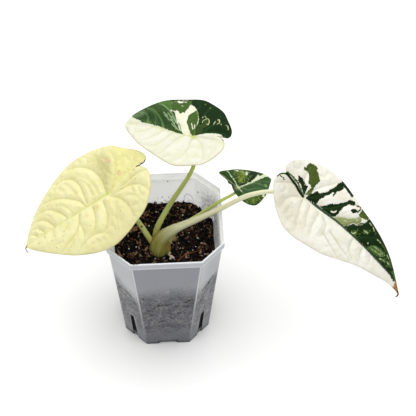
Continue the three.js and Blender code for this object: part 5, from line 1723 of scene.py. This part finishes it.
# %% Floor of the pot
FLOOR_UNDER = 4.4
FLOOR_THICK = 1.2
FLOOR_TOP = FLOOR_UNDER + FLOOR_THICK
FLOOR_INSET = 0.6 * WALL
SKIRT_INSET = 1.1
SKIRT_FOOT = 0.4
floor_rings = [level_ring(octagon_ring(*wall_size(z, inset)) * spread, z) for z, inset, spread in (
    (FLOOR_TOP, FLOOR_INSET, 0), (FLOOR_TOP, FLOOR_INSET, 1), (FLOOR_UNDER, FLOOR_INSET, 1),
    (FLOOR_UNDER, SKIRT_INSET, 1), (SKIRT_FOOT, SKIRT_INSET, 1), (SKIRT_FOOT, SKIRT_INSET + WALL, 1),
    (FLOOR_UNDER, SKIRT_INSET + WALL, 1), (FLOOR_UNDER, SKIRT_INSET + WALL, 0),
)]
floor_mesh, places, _ = ring_net("pot_floor", floor_rings)
move_points(floor_mesh, in_scene(places))
close_net(floor_mesh, 1e-6, outwards=True)
for field, value in (("opening", CLEAR_GAP), ("corner", CLEAR_GAP), ("crack", CLEAR_GAP),
                     ("stain", -CLEAR_GAP), ("contact", 20)):
    note_on(floor_mesh, field, np.full(len(floor_mesh.vertices), float(value)))
show(floor_mesh, [outside], smooth=False)
print("pot floor:", len(floor_mesh.vertices), "points")

# %% [markdown]
# ## The soil
# The mix is chopped bark and coir with a little perlite: loose, dark, damp, and full of shadows. A closed
# bed fills the pot up to the level of the real soil, in the darkest tone of wet bark, deepened to near black
# as painted shade for the gaps. On it lie thousands of bark bits, each a block with uneven corners, so that
# light catches their tops and the gaps between them stay black.

# %% Bed of soil
SOIL_LEVEL = 87
SOIL_BACK_RISE = 0.11
SOIL_SIDE_DROP = 5
SOIL_ROUGHNESS = 1.3
SOIL_GAP = WALL + GAP
BED_SIDE_RINGS, BED_TOP_RINGS = 24, 36
LUMP_HEIGHT, LUMP_SCALE, SINK = 1.4, 0.35, 0.8


def soil_top(x, y):
    """Height of the soil, with a slope up to the back and low rolling hills."""
    hill = np.sin(x * 0.31 + 1.3) * np.cos(y * 0.27 - 0.4) + 0.6 * np.sin(x * 0.11 - y * 0.19 + 2.1)
    slope = SOIL_BACK_RISE * y - SOIL_SIDE_DROP * (x / SHOULDER_HALF) ** 4
    return SOIL_LEVEL + slope + SOIL_ROUGHNESS * 0.6 * hill


def soil_edge(share):
    """The bed's side at a share of its height, from the pot's floor to the top of the soil."""
    low_z, high_z = FLOOR_TOP + GAP, SOIL_LEVEL + 2 * SOIL_SIDE_DROP
    low, high = (octagon_ring(*wall_size(z, SOIL_GAP)) for z in (low_z, high_z))
    level = soil_top(high[:, 0], high[:, 1])
    reach = share * (level - low_z) / (high_z - low_z)
    return np.column_stack([low + reach[:, None] * (high - low), low_z + share * (level - low_z)])


bed_rings = [soil_edge(0) * (0, 0, 1)] + [soil_edge(share) for share in np.linspace(0, 1, BED_SIDE_RINGS)]
rim = bed_rings[-1][:, :2]
for share in np.linspace(1, 0, BED_TOP_RINGS)[1:]:
    bed_rings.append(np.column_stack([rim * share, soil_top(*(rim * share).T)]))
bed, places, rows = ring_net("soil_bed", bed_rings)
lumps = np.array([noise.fractal(Vector(place) * LUMP_SCALE, 0.8, 2.2, 4) for place in places])
places[:, 2] += np.where(rows >= BED_SIDE_RINGS, LUMP_HEIGHT * lumps - SINK, 0)
move_points(bed, in_scene(places))
close_net(bed, 1e-6, outwards=True)
# The bed takes the darkest tone: wet bark, deepened to near black as painted shade in the gaps.
note_on(bed, "tint", np.zeros(len(bed.vertices)))
print("soil bed:", len(bed.vertices), "points")

# %% [markdown]
# Bark is reddish brown inside and grey-brown outside, and turns nearly black when it is wet. Each bit has a
# tint of its own, noted on its points, which picks its place on a ramp from wet to dry.

# %% Bark material
def bark_material(name, tones, roughness):
    material, tree, shader = blank_material(name, {"Roughness": roughness, "Specular IOR Level": 0.2})
    grain = add(tree, "TexNoise", {"Scale": 1.1, "Detail": 4.0, "Roughness": 0.7},
                {"Vector": place_of(tree)})
    grainy = add(tree, "Math", {"operation": "MULTIPLY_ADD", 1: 0.5, 2: -0.25}, {0: grain})
    grainy = add(tree, "Math", {"operation": "ADD", "use_clamp": True},
                 {0: grainy, 1: notes_of(tree, "tint")[0]})
    ramp = add(tree, "ValToRGB", (), {"Fac": grainy})
    set_stops(ramp, tones)
    bump = add(tree, "Bump", {"Strength": 0.6, "Distance": 0.25 * MM}, {"Height": grain})
    link(tree, shader, {"Base Color": ramp, "Normal": bump})
    return material


BARK_TONES = ["#050302", "#120B07", "#2A190F", "#4E3322", "#7C5A42", "#A88A6E"]
bark = bark_material("damp_pine_bark", BARK_TONES, 0.8)
show(bed, [bark], ["soil"])
print(bark.name, "has", len(bark.node_tree.nodes), "nodes")

# %% [markdown]
# The bits are scattered by a repeatable draw. Small ones are common and large ones rare. They lie at every
# angle, and keep clear of the stalks' foot and of the wall.

# %% Bark bits
BIT_COUNT = 5600
CROWN = np.array([-4.0, -4.0])
CROWN_RADIUS = 7.2
draw = random.Random(21)


def spot_on_soil(margin):
    """A place on the soil that is inside the pot's wall and outside the plant's foot."""
    while True:
        x, y = draw.uniform(-42, 42), draw.uniform(-42, 42)
        half, flat = wall_size(soil_top(x, y), SOIL_GAP + margin)
        if abs(x) < half and abs(y) < half and abs(x) + abs(y) < half + flat:
            if math.hypot(x - CROWN[0], y - CROWN[1]) > CROWN_RADIUS:
                return x, y


def add_bit(bm, tint_layer, place, size, tint, turn):
    """One bit: a block with uneven corners."""
    centre = Vector(in_scene(place))
    scale = Matrix.Diagonal(Vector((*[length * MM for length in size], 1)))
    made = bmesh.ops.create_cube(bm, size=1, matrix=Matrix.Translation(centre) @ turn.to_4x4() @ scale)
    for corner in made["verts"]:
        corner.co = centre + (corner.co - centre) * draw.uniform(0.62, 1.0)
        corner[tint_layer] = tint


def any_turn(tilt):
    return (Matrix.Rotation(draw.uniform(0, 2 * math.pi), 3, "Z")
            @ Matrix.Rotation(draw.gauss(0, tilt), 3, "X") @ Matrix.Rotation(draw.gauss(0, tilt), 3, "Y"))


CHIPS = [(-24, 15.2, 6.5, 0.8), (-20.5, 17.4, 4.5, 0.7), (7.9, 4.1, 4.8, 0.98), (-27, -9, 5.5, 0.62),
         (19, 12, 5, 0.6), (-2, 24, 5.5, 0.55), (24, 22, 4.5, 0.6), (29, -4, 5, 0.5), (-14, 29, 4.5, 0.6)]
WALL_CRUMBS = [(4.4, 41.9, 115.9), (8.7, 42.3, 120), (-0.2, 40.5, 98.1), (5, 40.5, 97.8), (7.7, 40.6, 99.4),
               (28, 40, 104.9), (28.3, 38, 105.5), (37.7, 28.1, 107.2), (40.9, 5.5, 104.4),
               (41.4, -11.4, 112.3), (6.4, 40.4, 96.2), (9.5, 40.3, 95.4), (-4.1, 40.4, 97), (40.8, 12, 100),
               (40.2, 20, 97), (33, 33.4, 101)]
RIM_CRUMBS = [(-24.6, -44.5, 122.3), (-23.6, -44.4, 122.3), (-21.9, -44.5, 122.3), (-30, -40.4, 122.2),
              (-36, -34.6, 122.2)]
bm = bmesh.new()
tint_layer = bm.verts.layers.float.new("tint")
for _ in range(BIT_COUNT):
    length = 0.9 + 3.9 * draw.random() ** 3
    x, y = spot_on_soil(0.35 * length)
    size = (length, length * draw.uniform(0.22, 0.55), length * draw.uniform(0.2, 0.4))
    lift = draw.uniform(-1.0, 2.2)
    tint = draw.choice((0.0, 0.0, 0.0, 0.05, 0.1, 0.3, 0.55, 0.88)) + draw.uniform(-0.05, 0.08)
    add_bit(bm, tint_layer, (x, y, float(soil_top(x, y)) + lift), size, tint, any_turn(0.8))
for x, y, length, tint in CHIPS:
    size = (length, 0.6 * length, 0.35 * length)
    add_bit(bm, tint_layer, (x, y, float(soil_top(x, y)) + 1.9), size, tint, any_turn(0.25))
for place in WALL_CRUMBS + RIM_CRUMBS:
    length = draw.uniform(0.5, 1.1)
    add_bit(bm, tint_layer, place, (length, 0.8 * length, 0.7 * length), draw.uniform(0.1, 0.6), any_turn(1))
bits_mesh = mesh_from(bm, "bark_bits")
show(bits_mesh, [bark], smooth=False)
print("bark bits:", len(bits_mesh.polygons) * 2, "triangles")

# %% [markdown]
# Perlite is volcanic glass that was heated until it popped into white crumbs full of tiny bubbles. A few
# dozen grains of one to three millimetres lie among the bark, some of them stained tan by it. The ones that
# stand out in the photograph have a place of their own.

# %% Perlite
PERLITE_COUNT = 90
PERLITE_SPOTS = [
    (-28.4, -1.9, 1.3), (-22.6, -1.3, 1.1), (-15.5, 2, 1), (25.8, 5.6, 1.5), (19.6, 9.5, 1.2),
    (-5.6, 30.5, 1.1), (-3.9, 30.1, 1), (15.4, 26.8, 0.7), (21.9, -6.1, 1), (7, -14.9, 0.9),
    (5.5, 0.3, 1.2), (-8, -13.1, 0.7), (28.9, 1.1, 1.1), (24.3, -2.9, 0.8), (30, 12, 0.8), (12, 33, 0.8),
    (-18, -10, 0.8), (15, -11, 0.7),
]
BEIGE_CLUSTER = [(4.5, -11.3, 1.5), (2.6, -9.3, 1.2), (3.8, -13.2, 1.1), (6, -12.6, 1.5), (3.5, -8, 1)]
bm = bmesh.new()
tint_layer = bm.verts.layers.float.new("tint")
grains = [(x, y, 0.6 * size, 0.0) for x, y, size in PERLITE_SPOTS]
grains += [(x, y, size, 0.45) for x, y, size in BEIGE_CLUSTER]
for _ in range(PERLITE_COUNT):
    grains.append((*spot_on_soil(1.5), 0.25 + 0.5 * draw.random() ** 2, draw.random()))
for x, y, radius, stain in grains:
    centre = Vector(in_scene((x, y, float(soil_top(x, y)) + draw.uniform(1.2, 2.0))))
    here = Matrix.Translation(centre)
    made = bmesh.ops.create_icosphere(bm, subdivisions=1, radius=radius * MM, matrix=here)
    for corner in made["verts"]:
        corner.co = centre + (corner.co - centre) * draw.uniform(0.7, 1.2)
        corner[tint_layer] = stain + draw.uniform(0, 0.1)
perlite_mesh = mesh_from(bm, "perlite")
perlite = bark_material("expanded_perlite", ["#E8E4DC", "#D8CDBC", "#BBA688", "#98795A"], 0.85)
show(perlite_mesh, [perlite], smooth=False)
print("perlite:", len(grains), "grains")

# %% [markdown]
# A few threads lie about: strands of coir, the reddish fibre of a coconut husk, on the soil, a hair root that
# dried on the pot's back wall, and the withered end of the yellow blade, which hangs down in a small hook.
# Each is a thin skin round a smooth line.

# %% Threads
coir = bark_material("coir_fibre", ["#6E3A20", "#A05830", "#BC7648"], 0.7)
THREADS = {
    "coir_strand": ([(9.2, -17.2), (14.3, -12.6), (20, -9.4), (28.5, -7.6)], 2.9, 0.5),
    "coir_strand_left": ([(-27, 6.8), (-23.2, 4.8), (-20, 1.2), (-19, -2)], 2.4, 0.32),
    "coir_strand_front": ([(-15, -14), (-14.2, -9.5), (-15.8, -6)], 2.4, 0.3),
    "coir_strand_back": ([(-18, 24), (-12, 27), (-8, 25)], 2.4, 0.32),
    "dried_root": ([(17.3, 39.6, 93), (17.6, 40.2, 98.5), (19.6, 40.4, 101), (22.2, 40.3, 99),
                    (24.2, 39.7, 96.2), (25.2, 38.6, 92.5)], 0, 0.16),
}
HOOKS = {
    "blade_left": (0.42, ["#6E5A28", "#94803E", "#B09A5C"], [
        (0.7, 0.4, 0.3), (0.2, -0.4, -0.6), (0.5, -1.5, -1.8), (1.2, -2.3, -2.6), (2.0, -2.7, -2.7),
        (2.9, -2.8, -2.3)]),
    "blade_right": (0.75, ["#4A2A12", "#7A4A20", "#A8743C"], [
        (-2.4, 1.4, 4.2), (-1.2, 1.2, 1.6), (-0.9, 1.2, -0.6), (-1.1, 1.1, -2.0), (-1.9, 1.0, -3.0),
        (-2.7, 1.0, -3.2)]),
}


def show_thread(name, route, radius, loss, finish):
    """A thin skin round a smooth line, which loses a share of its radius towards the end."""
    line = smooth_line(route, 10)
    taper = radius * (1 - loss * np.linspace(0, 1, len(line)) ** 2)
    show(make_skin(name, line, taper, 8, 40), [finish])
    print(name, "has", len(line), "places")


for blade_name, (radius, tones, shifts) in HOOKS.items():
    tip = bend_blade(BLADES[blade_name], np.array([BLADES[blade_name]["tip"]], float))[0]
    withered = bark_material(blade_name + "_withered_tip", tones, 0.6)
    show_thread(blade_name + "_hook", [tip + np.array(shift) for shift in shifts], radius, 0.6, withered)
for thread_name, (route, lift, radius) in THREADS.items():
    route = [place if len(place) == 3 else (*place, float(soil_top(*place)) + lift) for place in route]
    show_thread(thread_name, route, radius, 0.55, coir)

# %% [markdown]
# The corm hides in the soil under the stalks. It is the one solid of the CAD model that stays as it is, and
# it gets a rough brown skin, the papery remains of old leaf bases.

# %% Corm
corm_skin = bark_material("papery_corm_skin", ["#4A3420", "#6B4E30", "#8A6A44"], 0.8)
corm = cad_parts["corm"]
corm.data.materials.clear()
corm.data.materials.append(corm_skin)
print("corm:", len(corm.data.polygons), "faces, as the CAD model has them")

# %% [markdown]
# ## Floor and light
# The photograph has a white ground and soft light from all round, strongest from above. A large pale floor,
# a bright even sky and one very large soft lamp overhead give the same: hardly any shadow but a soft grey
# one where the pot stands.

# %% Floor
STAGE_HALF = 4
STAGE_DROP = 0.0003
bm = bmesh.new()
bmesh.ops.create_grid(bm, x_segments=1, y_segments=1, size=STAGE_HALF)
stage_mesh = mesh_from(bm, "studio_floor")
paper, *_ = blank_material("white_backdrop_paper", {"Base Color": linear("#F3F3F3"), "Roughness": 0.9})
stage_mesh.materials.append(paper)
stage = bpy.data.objects.new("studio_floor", stage_mesh)
bpy.context.scene.collection.objects.link(stage)
move_points(stage_mesh, points_of(stage_mesh) + np.array([0, 0, -STAGE_DROP]))
stage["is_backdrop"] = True
print("stage:", 2 * STAGE_HALF, "m wide")

# %% [markdown]
# The sky is a formula: a low even light, a little more from behind, and most from above. The lamp is a soft
# box of 1.2 m that hangs behind the pot.

# %% Light
world = bpy.data.worlds.new("soft_sky")
bpy.context.scene.world = world
world.use_nodes = True
sky = world.node_tree.nodes["Background"]
SKY_LOW = 0.3
SKY_RISE = 1.3
SKY_BACK = 0.2
LAMP_PLACE, LAMP_AIM = Vector((-0.05, 0.15, 1.35)), Vector((-0.037, 0, 0.1))
LAMP_SIZE, LAMP_WATTS = 1.2, 6
sky_tree = world.node_tree
direction = add(sky_tree, "TexCoord")
parts = add(sky_tree, "SeparateXYZ", (), {0: direction.outputs["Generated"]})
behind = add(sky_tree, "Math", {"operation": "MULTIPLY_ADD", 1: SKY_BACK, 2: SKY_LOW},
             {0: parts.outputs["Y"]})
above = add(sky_tree, "Math", {"operation": "MULTIPLY_ADD", 1: SKY_RISE},
            {0: parts.outputs["Z"], 2: behind})
sky.inputs[0].default_value = linear("#FFFFFF")
link(sky_tree, sky, {1: above})
lamp_data = bpy.data.lights.new("top_softbox", "AREA")
lamp_data.shape = "SQUARE"
lamp_data.size = LAMP_SIZE
lamp_data.energy = LAMP_WATTS
lamp = bpy.data.objects.new("top_softbox", lamp_data)
bpy.context.scene.collection.objects.link(lamp)
lamp.location = LAMP_PLACE
lamp.rotation_euler = (LAMP_AIM - LAMP_PLACE).to_track_quat("-Z", "Y").to_euler()
bpy.context.scene.view_settings.view_transform = "Standard"
print("lamp:", LAMP_SIZE, "m,", LAMP_WATTS, "W")

# %% [markdown]
# ## Sizes and triangles
# How far the dressed model reaches beyond each corner of the CAD model's box is printed, and so is the
# number of triangles of every piece.

# %% Sizes
low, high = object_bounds()
for label, cad, seen in (("low", cad_low, low), ("high", cad_high, high)):
    print(label, "corner, mm beyond the CAD box:", [round((b - a) / MM, 2) for a, b in zip(cad, seen)])
graph = bpy.context.evaluated_depsgraph_get()
total = 0
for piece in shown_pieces():
    shape = piece.evaluated_get(graph).to_mesh()
    shape.calc_loop_triangles()
    print(piece.name, len(shape.loop_triangles), "triangles")
    total += len(shape.loop_triangles)
print("triangles in all:", total)
